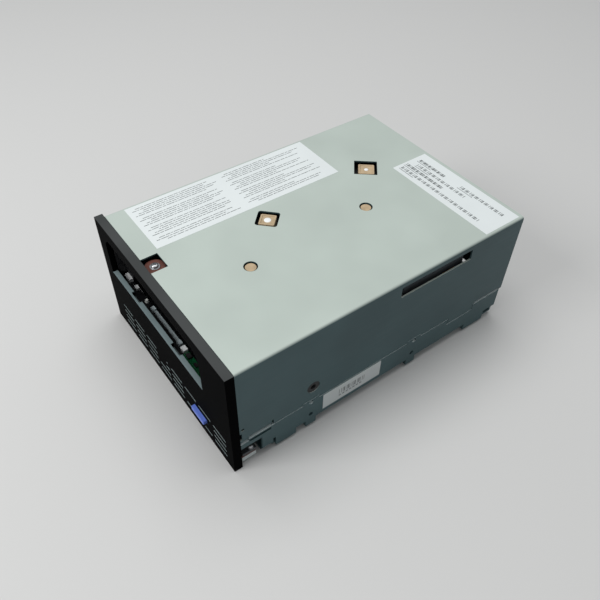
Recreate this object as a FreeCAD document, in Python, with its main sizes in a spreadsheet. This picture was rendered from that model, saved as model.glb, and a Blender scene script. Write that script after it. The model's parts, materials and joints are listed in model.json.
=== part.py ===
"""Full-height 5.25-inch tape drive with a front-loading cartridge slot.

Origin: centre of the bottom screw pattern, on the underside of the base.
+X is to the right seen from the front, +Y to the rear, +Z up.
Pieces are drawn with y counted from the body's front edge; node() shifts them to the origin.
"""
import FreeCAD, Part
import math
import os
import Sketcher

DOC = FreeCAD.newDocument("tape_drive")
SHEET = DOC.addObject("Spreadsheet::Sheet", "Sizes")
NODES = []

# Driving dimensions in millimetres, degrees or counts
SIZES = {
    # outer body
    "body_width": 146.0,
    "body_length": 205.5,
    "body_height": 82.55,
    "cover_wall": 1.0,
    "bend_radius": 1.8,
    "seam_height": 22.5,
    "seam_gap": 0.6,
    "base_wall": 1.5,
    "base_inset": 1.7,
    "rear_skirt": 1.2,
    "rear_skirt_gap": 0.8,
    "rear_skirt_end": 2.6,
    "fit_gap": 0.3,
    "running_gap": 0.05,
    # mounting holes
    "screw_setback": 47.4,
    "screw_pitch": 79.25,
    "screw_low": 10.0,
    "screw_high": 21.84,
    "bottom_inset": 3.15,
    "mount_radius": 1.5,
    "tab_margin": 5.7,
    "tab_rise": 2.2,
    # side details of the base and cover
    "corner_cut_length": 13.6,
    "corner_chamfer_rear": 20.9,
    "corner_notch": 1.8,
    "corner_notch_high": 8.4,
    "corner_floor": 16.25,
    "foot_front": 36.8,
    "foot_rear": 175.0,
    "foot_end": 193.2,
    "tail_height": 7.15,
    "chamfer_rise": 5.0,
    "chamfer_run": 2.8,
    "chamfer_over": 0.1,
    "ear_half": 3.7,
    "step_front": 155.7,
    "step_rear": 178.8,
    "step_height": 17.2,
    "step_gap": 0.4,
    "hem_tip": 1.2,
    "hem_tip_drop": 1.5,
    "hem_tip_rise": 1.2,
    "hem_front": 5.3,
    "hem_rear": 20.2,
    "hem_rise": 2.8,
    "hem_slit_drop": 2.8,
    "hem_slit_height": 1.8,
    "hem_slit_end": 0.4,
    "hem_end_gap": 0.2,
    "hem_end_width": 1.2,
    "hem_end_rise": 2.0,
    "relief_width": 1.2,
    "relief_low": 25.0,
    "relief_high": 31.0,
    "window_front": 107.5,
    "window_rear": 162.4,
    "window_drop": 4.1,
    "window_height": 7.7,
    "window_radius": 0.8,
    "latch_setback": 1.95,
    "latch_height": 34.15,
    "latch_hole": 1.9,
    "grommet_setback": 48.4,
    "grommet_height": 35.35,
    "grommet_radius": 4.2,
    "grommet_bore": 1.8,
    "grommet_flange": 1.2,
    "grommet_gap": 0.1,
    # openings in the top
    "notch_left": -25.0,
    "notch_right": -11.8,
    "notch_length": 10.4,
    "diamond_one_across": -14.5,
    "diamond_one_along": 78.0,
    "diamond_one_half": 9.6,
    "diamond_two_across": -21.3,
    "diamond_two_along": 159.9,
    "diamond_two_half": 10.6,
    "diamond_two_lean": 0.1,
    "diamond_radius": 1.8,
    "square_radius": 0.4,
    "hole_one_across": 14.4,
    "hole_one_along": 47.3,
    "hole_two_across": 10.3,
    "hole_two_along": 133.6,
    "hole_radius": 4.1,
    "rear_vent_low": 50.0,
    "rear_vent_length": 14.0,
    "rear_vent_radius": 1.1,
    "rear_vent_pitch": 5.0,
    "rear_vent_count": 17,
    # labels
    "label_thickness": 0.1,
    "top_label_edge": 2.3,
    "top_label_right": -28.0,
    "top_label_front": 12.0,
    "top_label_rear": 142.5,
    "rear_label_width": 81.9,
    "rear_label_edge": 2.0,
    "rear_label_front": 174.5,
    "rear_label_end": 2.5,
    "side_label_front": 56.0,
    "side_label_rear": 99.8,
    "side_label_low": 7.85,
    "side_label_high": 21.5,
    # bezel
    "bezel_depth": 5.4,
    "bezel_overhang": 2.6,
    "bezel_wall": 3.2,
    "bezel_rim": 2.0,
    "bezel_drop": 2.05,
    "bezel_top_gap": 0.3,
    "tongue_thickness": 1.3,
    "tongue_low": 31.5,
    "tongue_high": 37.0,
    "tongue_rear": 4.2,
    "nub": 1.5,
    "slot_centre": -10.0,
    "slot_margin": 35.0,
    "slot_drop": 8.65,
    "slot_height": 28.65,
    "slot_radius": 8.0,
    "recess_width": 10.3,
    "recess_depth": 1.8,
    "recess_drop": 4.0,
    "recess_left": -37.0,
    "recess_right": 12.8,
    "vent_margin_right": 20.7,
    "vent_margin_left": 11.9,
    "vent_gap": 2.9,
    "vent_columns": 8,
    "vent_low": 4.95,
    "vent_rise": 4.9,
    "vent_rows": 4,
    "vent_slit": 1.2,
    "button_inset": 35.3,
    # eject button
    "button_height": 13.2,
    "button_width": 14.0,
    "button_thickness": 2.8,
    "button_proud": 2.3,
    "button_lip": 1.0,
    "button_travel": 1.5,
    "button_stem": 1.2,
    "deck_gap": 2.5,
    # inner deck
    "deck_front": 8.6,
    "deck_rear": 198.0,
    "deck_low": 20.0,
    "deck_thickness": 3.0,
    "deck_corner": 4.0,
    "ear_thickness": 2.0,
    "post_radius": 3.0,
    "post_inset": 6.0,
    "post_front": 22.0,
    "post_middle": 116.0,
    "post_rear": 190.0,
    "top_plate_drop": 8.05,
    "top_plate_thickness": 1.5,
    "top_plate_gap": 4.5,
    "top_plate_corner": 3.0,
    "top_plate_front": 0.6,
    "top_plate_rear": 199.0,
    "pad_height": 5.9,
    "pad_one_half": 6.8,
    "pad_two_half": 7.3,
    "pad_two_shift": 0.8,
    "pad_corner": 0.6,
    "pad_rim": 1.6,
    "pad_recess": 0.4,
    "pad_round_gap": 0.8,
    "stud_one_radius": 2.2,
    "stud_two_radius": 1.4,
    "pad_stud_height": 0.5,
    "board_gap": 2.5,
    # board
    "board_front": 16.0,
    "board_rear": 198.0,
    "board_low": 8.0,
    "board_thickness": 1.6,
    "standoff_radius": 2.4,
    "standoff_inset": 19.0,
    "standoff_front": 26.0,
    "standoff_rear": 180.0,
    "data_inset": 15.0,
    "data_width": 64.0,
    "data_height": 9.0,
    "power_inset": 21.0,
    "power_width": 22.0,
    "power_height": 9.8,
    "port_length": 15.0,
    "port_setback": 0.3,
    "port_floor": 4.0,
    "contact_setback": 2.0,
    "blade_inset": 5.0,
    "blade_half": 1.2,
    "power_pitch": 5.08,
    "power_pin": 1.05,
    "can_radius": 3.2,
    "can_height": 7.5,
    "port_wall": 1.2,
    "rear_screw_inset": 12.0,
    "rear_screw_rise": 4.7,
    "lap_half": 5.0,
    "lap_rise": 8.8,
    "rear_screw_head": 2.4,
    "rear_screw_head_height": 1.2,
    "rear_screw": 1.1,
    "switch_front": 7.2,
    "switch_length": 6.8,
    "switch_half": 4.0,
    "switch_top": 18.4,
    "switch_gap": 0.3,
    "tongue_width": 5.0,
    "tongue_front": 6.5,
    # rubber mounts of the deck
    "bracket_high": 3.2,
    "bracket_width": 13.9,
    "bracket_edge": 2.1,
    "bracket_lap": 7.0,
    "bracket_front": 0.6,
    "bracket_rear": 10.4,
    "mount_inset": 4.4,
    "mount_along": 8.0,
    "top_mount_across": -18.7,
    "top_mount_along": 5.4,
    "rubber_height": 1.3,
    "rubber_width": 7.8,
    "rubber_front": 1.0,
    "top_rubber_radius": 6.0,
    "top_rubber_height": 3.6,
    "washer_radius": 2.3,
    "top_washer_radius": 3.0,
    "washer_height": 0.4,
    "slit_half": 0.4,
    "arm_thickness": 2.2,
    "arm_inset": 15.0,
    "arm_width": 4.0,
    "arm_front": 1.6,
    "ear_half_length": 7.0,
    "ear_rise": 6.5,
    "head_height": 1.5,
    "head_radius": 1.9,
    "top_head_radius": 2.1,
    "screw_hole_gap": 0.1,
    "crossbar_drop": 8.95,
    "shank_radius": 1.3,
    # bar behind the slot
    "crossbar_thickness": 2.2,
    "crossbar_rear": 3.6,
    "bar_margin": 0.2,
    "sensor_board": 1.4,
    "sensor_board_gap": 1.5,
    "sensor_board_left": 14.2,
    "led_across": -35.7,
    "led_along": 2.0,
    "led_radius": 1.3,
    "led_flange": 1.2,
    # cartridge loader
    "cartridge_gap": 5.6,
    "cartridge_height": 21.5,
    "load_travel": 22.0,
    "pin_low": 47.0,
    "tray_front": 2.8,
    "tray_length": 84.0,
    "tray_wall": 1.2,
    "tray_sink": 0.65,
    "tray_roof_gap": 1.0,
    "tray_roof_front": 40.0,
    "tray_slope": 30.0,
    "tray_slope_drop": 12.0,
    "tray_stop_half": 15.0,
    "tray_stop_drop": 14.0,
    "tray_gap": 0.5,
    "tray_ledge": 9.0,
    "side_plate": 2.0,
    "side_plate_front": -1.5,
    "side_plate_rear": 100.0,
    "side_plate_drop": 3.0,
    "tray_side_gap": 1.0,
    "pin_radius": 1.5,
    "pin_slot_gap": 0.1,
    "pin_front": 20.0,
    "pin_rear": 70.0,
    "pin_rise": 11.7,
    "pin_end_gap": 0.4,
    "slider_thickness": 2.4,
    "slider_gap": 0.5,
    "slider_front": 10.0,
    "slider_rear": 79.0,
    "slider_rise": 11.0,
    "stud_rise": 7.0,
    "stud_front": 36.0,
    "stud_rear": 76.0,
    "stud_radius": 1.5,
    "stud_head": 1.2,
    "stud_head_height": 1.0,
    # loader gears
    "gear_module": 0.6,
    "pinion_teeth": 20,
    "wheel_teeth": 30,
    "worm_ratio": 10.0,
    "gear_along": 50.0,
    "gear_height": 33.0,
    "wheel_reach": 13.6,
    "wheel_face": 3.0,
    "axle_radius": 1.5,
    "axle_end": 1.5,
    "gear_hub": 1.8,
    "tooth_height": 0.55,
    "root_depth": 0.85,
    "tooth_root": 0.5,
    "tooth_tip": 0.2,
    "gap_root": 0.36,
    "gap_tip": 0.8,
    "rack_before": 13,
    "rack_after": 3,
    "worm_turns": 4.5,
    "worm_end": 0.8,
    "thread_sink": 0.15,
    "shaft_sink": 6.0,
    "motor_radius": 9.0,
    "motor_length": 26.0,
    "motor_face": 34.0,
    "motor_shaft": 1.0,
    "bracket_thickness": 1.5,
    "bracket_reach": 9.5,
    "bracket_foot": 5.0,
    "bracket_foot_length": 8.0,
    "bracket_hole": 3.2,
    # reels
    "supply_along": 58.0,
    "supply_motor_radius": 30.0,
    "supply_motor_height": 10.0,
    "motor_edge": 2.5,
    "bore_gap": 0.5,
    "spindle_depth": 7.0,
    "clutch_radius": 19.0,
    "clutch_height": 2.2,
    "clutch_dish": 11.5,
    "clutch_edge": 1.0,
    "clutch_cone": 4.0,
    "clutch_tooth": 0.9,
    "clutch_teeth": 16,
    "spindle_radius": 3.0,
    "takeup_across": -5.0,
    "takeup_along": 155.5,
    "takeup_motor_radius": 25.0,
    "takeup_motor_height": 12.0,
    "reel_radius": 43.0,
    "reel_hub": 22.0,
    "reel_collar": 9.0,
    "boss_radius": 8.0,
    "boss_depth": 2.0,
    "leader_depth": 7.0,
    "leader_half": 1.5,
    "reel_low": 38.3,
    "tape_space": 14.5,
    "flange_thickness": 1.3,
    "flange_windows": 3,
    "window_ring": 32.0,
    "window_half": 6.0,
    "window_end": 5.0,
    # tape path
    "roller_radius": 5.0,
    "roller_hub": 4.0,
    "roller_post": 1.5,
    "roller_flange": 1.0,
    "roller_taper": 0.2,
    "roller_collar": 1.5,
    "roller_cap": 1.2,
    "outer_roller_inset": 22.0,
    "outer_roller_front": 110.0,
    "outer_roller_rear": 162.0,
    "inner_roller_inset": 17.0,
    "inner_roller_front": 121.0,
    "inner_roller_rear": 151.0,
    # head
    "head_along": 136.0,
    "head_inset": 6.0,
    "head_rod_span": 11.0,
    "head_rod": 1.2,
    "head_screw": 1.2,
    "stepper_radius": 5.2,
    "stepper_height": 9.0,
    "head_plate": 2.0,
    "head_top": 60.0,
    "carriage_low": 41.0,
    "carriage_height": 12.0,
    "carriage_near": 3.0,
    "carriage_far": 3.6,
    "carriage_end": 2.8,
    "head_block_half": 4.5,
    "head_face_half": 2.5,
    "head_overhang": 0.5,
    "head_tape_gap": 0.4,
    "head_frame_reach": 4.9,
    "head_frame_end": 4.0,
    "lead_screw_sink": 4.0,
    # rail and flat cable beside the head
    "rail_near": 1.8,
    "rail_far": 3.0,
    "rail_front": 113.0,
    "rail_rear": 160.5,
    "rail_low": 66.8,
    "rail_high": 72.0,
    "rail_foot": 2.0,
    "flex_thickness": 0.3,
    "flex_width": 10.0,
    "flex_high": 65.6,
}


class Size:
    """A length that knows its value and the sheet expression that gives it."""

    def __init__(self, text, value):
        self.text = text
        self.value = float(value)

    def __float__(self):
        return self.value

    def __add__(self, other):
        return combine(self, "+", other)

    def __radd__(self, other):
        return combine(other, "+", self)

    def __sub__(self, other):
        return combine(self, "-", other)

    def __rsub__(self, other):
        return combine(other, "-", self)

    def __mul__(self, other):
        return combine(self, "*", other)

    def __rmul__(self, other):
        return combine(other, "*", self)

    def __truediv__(self, other):
        return combine(self, "/", other)

    def __neg__(self):
        return combine(0, "-", self)


OPERATIONS = {
    "+": lambda a, b: a + b,
    "-": lambda a, b: a - b,
    "*": lambda a, b: a * b,
    "/": lambda a, b: a / b,
}


def text_of(item):
    return item.text if isinstance(item, Size) else repr(float(item))


def combine(left, sign, right):
    value = OPERATIONS[sign](float(left), float(right))
    return Size(f"({text_of(left)} {sign} {text_of(right)})", value)


def fill_sheet():
    for row, (alias, value) in enumerate(SIZES.items(), start=1):
        SHEET.set(f"A{row}", alias)
        SHEET.set(f"B{row}", str(value))
        SHEET.setAlias(f"B{row}", alias)
    DOC.recompute()
    return {alias: Size(f"Sizes.{alias}", value) for alias, value in SIZES.items()}


class Table:
    """Gives each cell of the sheet as an attribute."""

    def __init__(self, cells):
        self.__dict__.update(cells)


S = Table(fill_sheet())


def bind(item, path, value):
    item.setExpression(path, text_of(value))


# Sketches

PLANES = {"x": ("YZ_Plane", 1), "y": ("XZ_Plane", -1), "z": ("XY_Plane", 1)}


def circle(across, up, radius):
    return {"circle": (across, up, radius)}


def rounded(corners, radius):
    return [corner + (radius,) if radius else corner for corner in corners]


def rect(left, right, low, high, radius=None):
    return rounded([(left, low), (right, low), (right, high), (left, high)], radius)


def diamond(across, along, half, radius=None, lean=0):
    """A square on its corner; lean turns it by that slope."""
    skew = half * lean
    corners = [(across - half, along - skew), (across + skew, along - half),
               (across + half, along + skew), (across - skew, along + half)]
    return rounded(corners, radius)


NEARLY_ROUND = 0.96


def slot(across, up, across_end, up_end, radius):
    """A straight slot between two pin places, with nearly round ends."""
    run = float(across_end) - float(across)
    rise = float(up_end) - float(up)
    length = math.hypot(run, rise)
    ahead = (run / length, rise / length)
    aside = (-ahead[1], ahead[0])
    corners = []
    for base, way in (((across, up), -1), ((across_end, up_end), 1)):
        for turn in (way, -way):
            corners.append(tuple(base[k] + radius * (ahead[k] * way + aside[k] * turn) for k in (0, 1)))
    return [corner + (radius * NEARLY_ROUND,) for corner in corners]


def vector(point):
    return FreeCAD.Vector(float(point[0]), float(point[1]), 0)


class Drawing:
    """Gathers a sketch's lines, arcs and constraints, and adds them in one go."""

    def __init__(self, sketch):
        self.sketch = sketch
        self.shapes = []
        self.rules = []
        self.sizes = []

    def add(self, shape):
        self.shapes.append(shape)
        return len(self.shapes) - 1

    def rule(self, kind, *items):
        value = items[-1]
        if isinstance(value, Size):
            self.sizes.append((len(self.rules), value.text))
        if kind != "Coincident":
            items = items[:-1] + (float(value),)
        self.rules.append(Sketcher.Constraint(kind, *items))

    def fix(self, shape, end, point):
        self.rule("DistanceX", shape, end, point[0])
        self.rule("DistanceY", shape, end, point[1])

    def finish(self):
        self.sketch.addGeometry(self.shapes, False)
        self.sketch.addConstraint(self.rules)
        for index, text in self.sizes:
            self.sketch.setExpression(f"Constraints[{index}]", text)


def corner_ends(before, point, after):
    """Where a rounded corner leaves its two straight sides."""
    if len(point) < 3:
        return point, point
    here = vector(point)
    arriving = (vector(before) - here).normalize()
    leaving = (vector(after) - here).normalize()
    reach = point[2] * (1 / math.tan(arriving.getAngle(leaving) / 2))
    return tuple((point[0] + reach * way.x, point[1] + reach * way.y) for way in (arriving, leaving))


def add_corner(drawing, line, following, point, ends):
    if len(point) < 3:
        drawing.rule("Coincident", line, 2, following, 1)
        return
    start, finish = vector(ends[0]), vector(ends[1])
    drawing.fix(line, 2, ends[0])
    here = vector(point)
    radius = float(point[2])
    inward = ((start + finish) * 0.5 - here).normalize()
    centre = here + inward * math.hypot((start - here).Length, radius)
    arc = Part.Arc(start, centre - inward * radius, finish)
    index = drawing.add(arc)
    anticlockwise = (start - centre).cross(finish - centre).z > 0
    first, second = (1, 2) if anticlockwise else (2, 1)
    drawing.rule("Coincident", index, first, line, 2)
    drawing.rule("Coincident", index, second, following, 1)
    drawing.rule("Radius", index, point[2])


def draw_loop(drawing, loop):
    if isinstance(loop, dict):
        across, up, radius = loop["circle"]
        ring = drawing.add(Part.Circle(vector((across, up)), FreeCAD.Vector(0, 0, 1), float(radius)))
        drawing.fix(ring, 3, (across, up))
        drawing.rule("Radius", ring, radius)
        return
    count = len(loop)
    ends = [corner_ends(loop[i - 1], loop[i], loop[(i + 1) % count]) for i in range(count)]
    lines = []
    for i in range(count):
        start, finish = ends[i][1], ends[(i + 1) % count][0]
        lines.append(drawing.add(Part.LineSegment(vector(start), vector(finish))))
        drawing.fix(lines[-1], 1, start)
    for i in range(count):
        after = (i + 1) % count
        add_corner(drawing, lines[i], lines[after], loop[after], ends[after])


def new_sketch(body, axis, level, loops):
    role, sign = PLANES[axis]
    sketch = body.newObject("Sketcher::SketchObject", body.Name + "_sketch")
    plane = next(item for item in body.Origin.OriginFeatures if item.Role == role)
    sketch.AttachmentSupport = (plane, "")
    sketch.MapMode = "FlatFace"
    bind(sketch, "AttachmentOffset.Base.z", level * sign)
    drawing = Drawing(sketch)
    for loop in loops:
        draw_loop(drawing, loop)
    drawing.finish()
    return sketch


# Features and primitives

def new_body(name):
    return DOC.addObject("PartDesign::Body", name + "_body")


LOOPS_PER_SKETCH = 4


def extrude(body, kind, axis, low, high, loops):
    """Pads or Pockets of closed loops between two levels, a few loops to a sketch."""
    upward = PLANES[axis][1] > 0
    start = low if upward == (kind == "Pad") else high
    features = []
    for first in range(0, len(loops), LOOPS_PER_SKETCH):
        feature_loops = loops[first:first + LOOPS_PER_SKETCH]
        sketch = new_sketch(body, axis, start, feature_loops)
        feature = body.newObject("PartDesign::" + kind, body.Name + "_" + kind.lower())
        feature.Profile = sketch
        bind(feature, "Length", high - low)
        body.Tip = feature
        features.append(feature)
    return features


def pad(body, axis, low, high, *loops):
    return extrude(body, "Pad", axis, low, high, loops)


def pocket(body, axis, low, high, *loops):
    return extrude(body, "Pocket", axis, low, high, loops)


def mirror(body, features):
    """Repeats features of the right side on the left."""
    copy = body.newObject("PartDesign::Mirrored", body.Name + "_mirrored")
    copy.Originals = features
    plane = next(item for item in body.Origin.OriginFeatures if item.Role == "YZ_Plane")
    copy.MirrorPlane = (plane, [""])
    body.Tip = copy


def repeat_round(body, features, count):
    """Copies of a feature turned evenly about the body's own Z axis."""
    copies = body.newObject("PartDesign::PolarPattern", body.Name + "_round")
    copies.Originals = features
    line = next(item for item in body.Origin.OriginFeatures if item.Role == "Z_Axis")
    copies.Axis = (line, [""])
    copies.Angle = 360
    bind(copies, "Occurrences", count)
    body.Tip = copies


def lathe(name, points):
    """Solid turned about its own Z axis from a radius and height outline."""
    body = new_body(name)
    sketch = new_sketch(body, "y", 0, [points])
    turned = body.newObject("PartDesign::Revolution", name + "_turned")
    turned.Profile = sketch
    turned.ReferenceAxis = (sketch, ["V_Axis"])
    turned.Angle = 360
    body.Tip = turned
    return body


TURNS = {
    "x": FreeCAD.Rotation(FreeCAD.Vector(0, 1, 0), 90),
    "y": FreeCAD.Rotation(FreeCAD.Vector(1, 0, 0), -90),
    "z": FreeCAD.Rotation(),
}


def place(item, across, along, up, axis="z"):
    item.Placement = FreeCAD.Placement(FreeCAD.Vector(), TURNS[axis])
    for path, value in (("x", across), ("y", along), ("z", up)):
        bind(item, "Placement.Base." + path, value)
    return item


def box(left, right, front, rear, low, high):
    block = DOC.addObject("Part::Box", "block")
    bind(block, "Length", right - left)
    bind(block, "Width", rear - front)
    bind(block, "Height", high - low)
    return place(block, left, front, low)


def rod(across, along, up, radius, length, axis="z"):
    bar = DOC.addObject("Part::Cylinder", "rod")
    bind(bar, "Radius", radius)
    bind(bar, "Height", length)
    return place(bar, across, along, up, axis)


def fuse(*pieces):
    joined = DOC.addObject("Part::MultiFuse", "joined")
    joined.Shapes = list(pieces)
    return joined


def cut(base, *tools):
    result = DOC.addObject("Part::Cut", "cut")
    result.Base = base
    result.Tool = tools[0] if len(tools) == 1 else fuse(*tools)
    return result


def group(*pieces):
    bundle = DOC.addObject("Part::Compound", "bundle")
    bundle.Links = list(pieces)
    return bundle


def node(label, item):
    """Names a finished sub-part and shifts it to the row's origin."""
    shift = S.screw_setback + S.screw_pitch / 2
    given = dict(item.ExpressionEngine)
    own = given.get("Placement.Base.y") or given.get(".Placement.Base.y") or "0"
    item.setExpression("Placement.Base.y", f"{own} - {shift.text}")
    item.Label = label
    NODES.append(item)
    return item


def count_of(size):
    return int(float(size))


def both(side, near, far):
    """A span of x on the right, or its mirror image on the left."""
    return (near, far) if side > 0 else (-far, -near)


# Values worked out from the sheet

HALF = S.body_width / 2
COVER_LOW = S.seam_height + S.seam_gap / 2
BASE_HIGH = S.seam_height - S.seam_gap / 2
BASE_REAR = S.body_length - S.base_inset
BASE_INNER = HALF - S.base_wall
INNER = HALF - S.cover_wall
COVER_HIGH = S.body_height - S.cover_wall
BOTTOM_SCREW = HALF - S.bottom_inset
SCREW_ROWS = (S.screw_setback, S.screw_setback + S.screw_pitch)
TAB_HIGH = S.screw_high + S.tab_rise
HEM_HIGH = BASE_HIGH + S.hem_rise
SLIT_LOW = BASE_HIGH - S.hem_slit_drop
WINDOW_HIGH = S.body_height - S.window_drop
DECK_TOP = S.deck_low + S.deck_thickness
DECK_HALF = INNER - S.deck_gap
POST_ACROSS = DECK_HALF - S.post_inset
BEZEL_LEFT = -(HALF + S.bezel_overhang)
BEZEL_FACE = -S.bezel_depth
BEZEL_BACK = S.bezel_wall - S.bezel_depth
BEZEL_TOP = S.body_height - S.bezel_top_gap
SLOT_WIDTH = S.body_width - S.slot_margin
SLOT_LEFT = S.slot_centre - SLOT_WIDTH / 2
SLOT_RIGHT = S.slot_centre + SLOT_WIDTH / 2
SLOT_HIGH = BEZEL_TOP - S.slot_drop
SLOT_LOW = SLOT_HIGH - S.slot_height
VENT_PITCH = (S.body_width - S.vent_margin_right - S.vent_margin_left) / (S.vent_columns - 1)
VENT_LENGTH = VENT_PITCH - S.vent_gap
BUTTON_ACROSS = HALF - S.button_inset
PLATE_LOW = S.body_height - S.top_plate_drop
PLATE_TOP = PLATE_LOW + S.top_plate_thickness
PLATE_HALF = INNER - S.top_plate_gap
PAD_TOP = PLATE_TOP + S.pad_height
BOARD_TOP = S.board_low + S.board_thickness
BOARD_HALF = BASE_INNER - S.board_gap
STANDOFF_ACROSS = BOARD_HALF - S.standoff_inset
REAR_SCREW_ACROSS = HALF - S.rear_screw_inset
REAR_SCREWS = (-REAR_SCREW_ACROSS, REAR_SCREW_ACROSS)
REAR_SCREW_HEIGHT = COVER_LOW + S.rear_screw_rise
MOUNT_ACROSS = HALF - S.mount_inset
BRACKET_EDGE = HALF - S.bracket_edge
BRACKET_INNER = BRACKET_EDGE - S.bracket_width
RUBBER_TOP = S.bracket_high + S.rubber_height
ARM_TOP = RUBBER_TOP + S.arm_thickness
TRAY_HALF = (SLOT_WIDTH - S.cartridge_gap) / 2 + S.tray_gap
TRAY_OUTER = TRAY_HALF + S.tray_wall
TRAY_LOW = SLOT_LOW - S.tray_sink
TRAY_TOP = TRAY_LOW + S.tray_wall + S.cartridge_height + S.tray_roof_gap
PIN_HEIGHT = TRAY_LOW + S.pin_rise
STUD_HEIGHT = PIN_HEIGHT + S.stud_rise
SLIDER_TOP = PIN_HEIGHT + S.slider_rise
BAR_BASE = SLOT_LOW - S.crossbar_drop
BAR_LOW = BAR_BASE + S.crossbar_thickness
PLATE_NEAR = TRAY_OUTER + S.tray_side_gap
PLATE_FAR = PLATE_NEAR + S.side_plate
SIDE_FACE = S.slot_centre + PLATE_FAR
SLIDER_NEAR = SIDE_FACE + S.slider_gap
SLIDER_FAR = SLIDER_NEAR + S.slider_thickness
WHEEL_ACROSS = SLIDER_NEAR + S.wheel_reach
PINION_RADIUS = S.gear_module * S.pinion_teeth / 2
WHEEL_RADIUS = S.gear_module * S.wheel_teeth / 2
WORM_RADIUS = S.gear_module * S.worm_ratio / 2
RACK_HEIGHT = S.gear_height + PINION_RADIUS
WORM_HEIGHT = S.gear_height + WHEEL_RADIUS + WORM_RADIUS
TOOTH_PITCH = S.gear_module * math.pi
SUPPLY_TOP = DECK_TOP + S.supply_motor_height
TAKEUP_TOP = DECK_TOP + S.takeup_motor_height
REEL_TOP = S.reel_low + 2 * S.flange_thickness + S.tape_space
ROLLER_LOW = S.reel_low + S.roller_flange
ROLLER_TOP = ROLLER_LOW + S.tape_space + 2 * S.roller_flange
OUTER_ROLLER = INNER - S.outer_roller_inset
INNER_ROLLER = INNER - S.inner_roller_inset
ROLLERS = (
    (OUTER_ROLLER, S.outer_roller_front),
    (INNER_ROLLER, S.inner_roller_front),
    (INNER_ROLLER, S.inner_roller_rear),
    (OUTER_ROLLER, S.outer_roller_rear),
)
HEAD_ACROSS = INNER - S.head_inset
HEAD_RODS = (S.head_along - S.head_rod_span / 2, S.head_along + S.head_rod_span / 2)
STEPPER_TOP = DECK_TOP + S.stepper_height
PAD_TWO_ACROSS = S.diamond_two_across + S.pad_two_shift
SQUARE_PADS = (
    (S.diamond_one_across, S.diamond_one_along, S.pad_one_half, S.stud_one_radius, 0),
    (PAD_TWO_ACROSS, S.diamond_two_along, S.pad_two_half, S.stud_two_radius, S.diamond_two_lean),
)
ROUND_PADS = ((S.hole_one_across, S.hole_one_along), (S.hole_two_across, S.hole_two_along))
DATA_LEFT = -(HALF - S.data_inset)
POWER_RIGHT = HALF - S.power_inset
PORTS = (
    (DATA_LEFT, DATA_LEFT + S.data_width, BOARD_TOP + S.data_height),
    (POWER_RIGHT - S.power_width, POWER_RIGHT, BOARD_TOP + S.power_height),
)
SIDES = (-1, 1)
POSTS = [(side * POST_ACROSS, y) for side in SIDES for y in (S.post_front, S.post_middle, S.post_rear)]
FRAME_POSTS = [place for index, place in enumerate(POSTS) if index % 3]
STANDOFFS = [(side * STANDOFF_ACROSS, y) for side in SIDES
             for y in (S.standoff_front, S.post_middle, S.standoff_rear)]
PAST = 1.0


# Outer shells

def top_cover():
    body = new_body("top_cover")
    bend = S.bend_radius - S.cover_wall
    pad(body, "y", 0, S.body_length, [
        (-HALF, COVER_LOW), (-INNER, COVER_LOW), (-INNER, COVER_HIGH, bend), (INNER, COVER_HIGH, bend),
        (INNER, COVER_LOW), (HALF, COVER_LOW), (HALF, S.body_height, S.bend_radius),
        (-HALF, S.body_height, S.bend_radius)])
    pad(body, "y", S.body_length - S.cover_wall, S.body_length,
        rect(-INNER, INNER, COVER_LOW + S.rear_skirt, COVER_HIGH))
    skirt = pad(body, "x", INNER, HALF, rect(
        S.step_front + S.step_gap, S.step_rear - S.step_gap, S.step_height + S.seam_gap, COVER_LOW))
    mirror(body, skirt)
    pocket(body, "x", -HALF - PAST, HALF + PAST, *cover_edge_cuts())
    pocket(body, "x", INNER - PAST, HALF + PAST, rect(
        S.window_front, S.window_rear, WINDOW_HIGH - S.window_height, WINDOW_HIGH, S.window_radius))
    pocket(body, "z", COVER_HIGH - PAST, S.body_height + PAST,
           rect(S.notch_left, S.notch_right, -PAST, S.notch_length),
           diamond(S.diamond_one_across, S.diamond_one_along, S.diamond_one_half, S.diamond_radius),
           diamond(S.diamond_two_across, S.diamond_two_along, S.diamond_two_half, S.square_radius,
                   S.diamond_two_lean),
           *[circle(x, y, S.hole_radius) for x, y in ROUND_PADS])
    first = -S.rear_vent_pitch * (S.rear_vent_count - 1) / 2
    places = [first + S.rear_vent_pitch * index for index in range(count_of(S.rear_vent_count))]
    low, high = S.rear_vent_low, S.rear_vent_low + S.rear_vent_length
    vents = [slot(x, low, x, high, S.rear_vent_radius) for x in places]
    pocket(body, "y", S.body_length - S.cover_wall - PAST, S.body_length + PAST, *vents,
           *[circle(x, REAR_SCREW_HEIGHT, S.rear_screw + S.screw_hole_gap) for x in REAR_SCREWS])
    node("top_cover", body)


def cover_edge_cuts():
    """Cuts along the lower edge of the side walls, and their holes."""
    low = COVER_LOW - PAST
    tabs = [rect(y - S.tab_margin - S.fit_gap, y + S.tab_margin + S.fit_gap, low, TAB_HIGH + S.fit_gap)
            for y in SCREW_ROWS]
    tip_high = BASE_HIGH + S.hem_tip_rise
    hem = [(S.hem_tip, low), (S.hem_rear, low), (S.hem_rear, HEM_HIGH), (S.hem_front, HEM_HIGH),
           (S.hem_front, tip_high), (S.hem_tip, tip_high)]
    end = S.hem_rear + S.hem_end_gap
    hem_end = rect(end, end + S.hem_end_width, low, HEM_HIGH + S.hem_end_rise)
    tail = rect(S.step_rear + S.rear_skirt_gap, S.body_length - S.rear_skirt_end,
                low, COVER_LOW + S.rear_skirt)
    corner = rect(-PAST, S.relief_width, S.relief_low, S.relief_high)
    latch_front = S.latch_setback - S.latch_hole / 2
    latch_low = S.latch_height - S.latch_hole / 2
    latch = rect(latch_front, latch_front + S.latch_hole, latch_low, latch_low + S.latch_hole)
    ring = circle(S.grommet_setback, S.grommet_height, S.grommet_radius + S.grommet_gap)
    return [*tabs, hem, hem_end, tail, corner, latch, ring]


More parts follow.
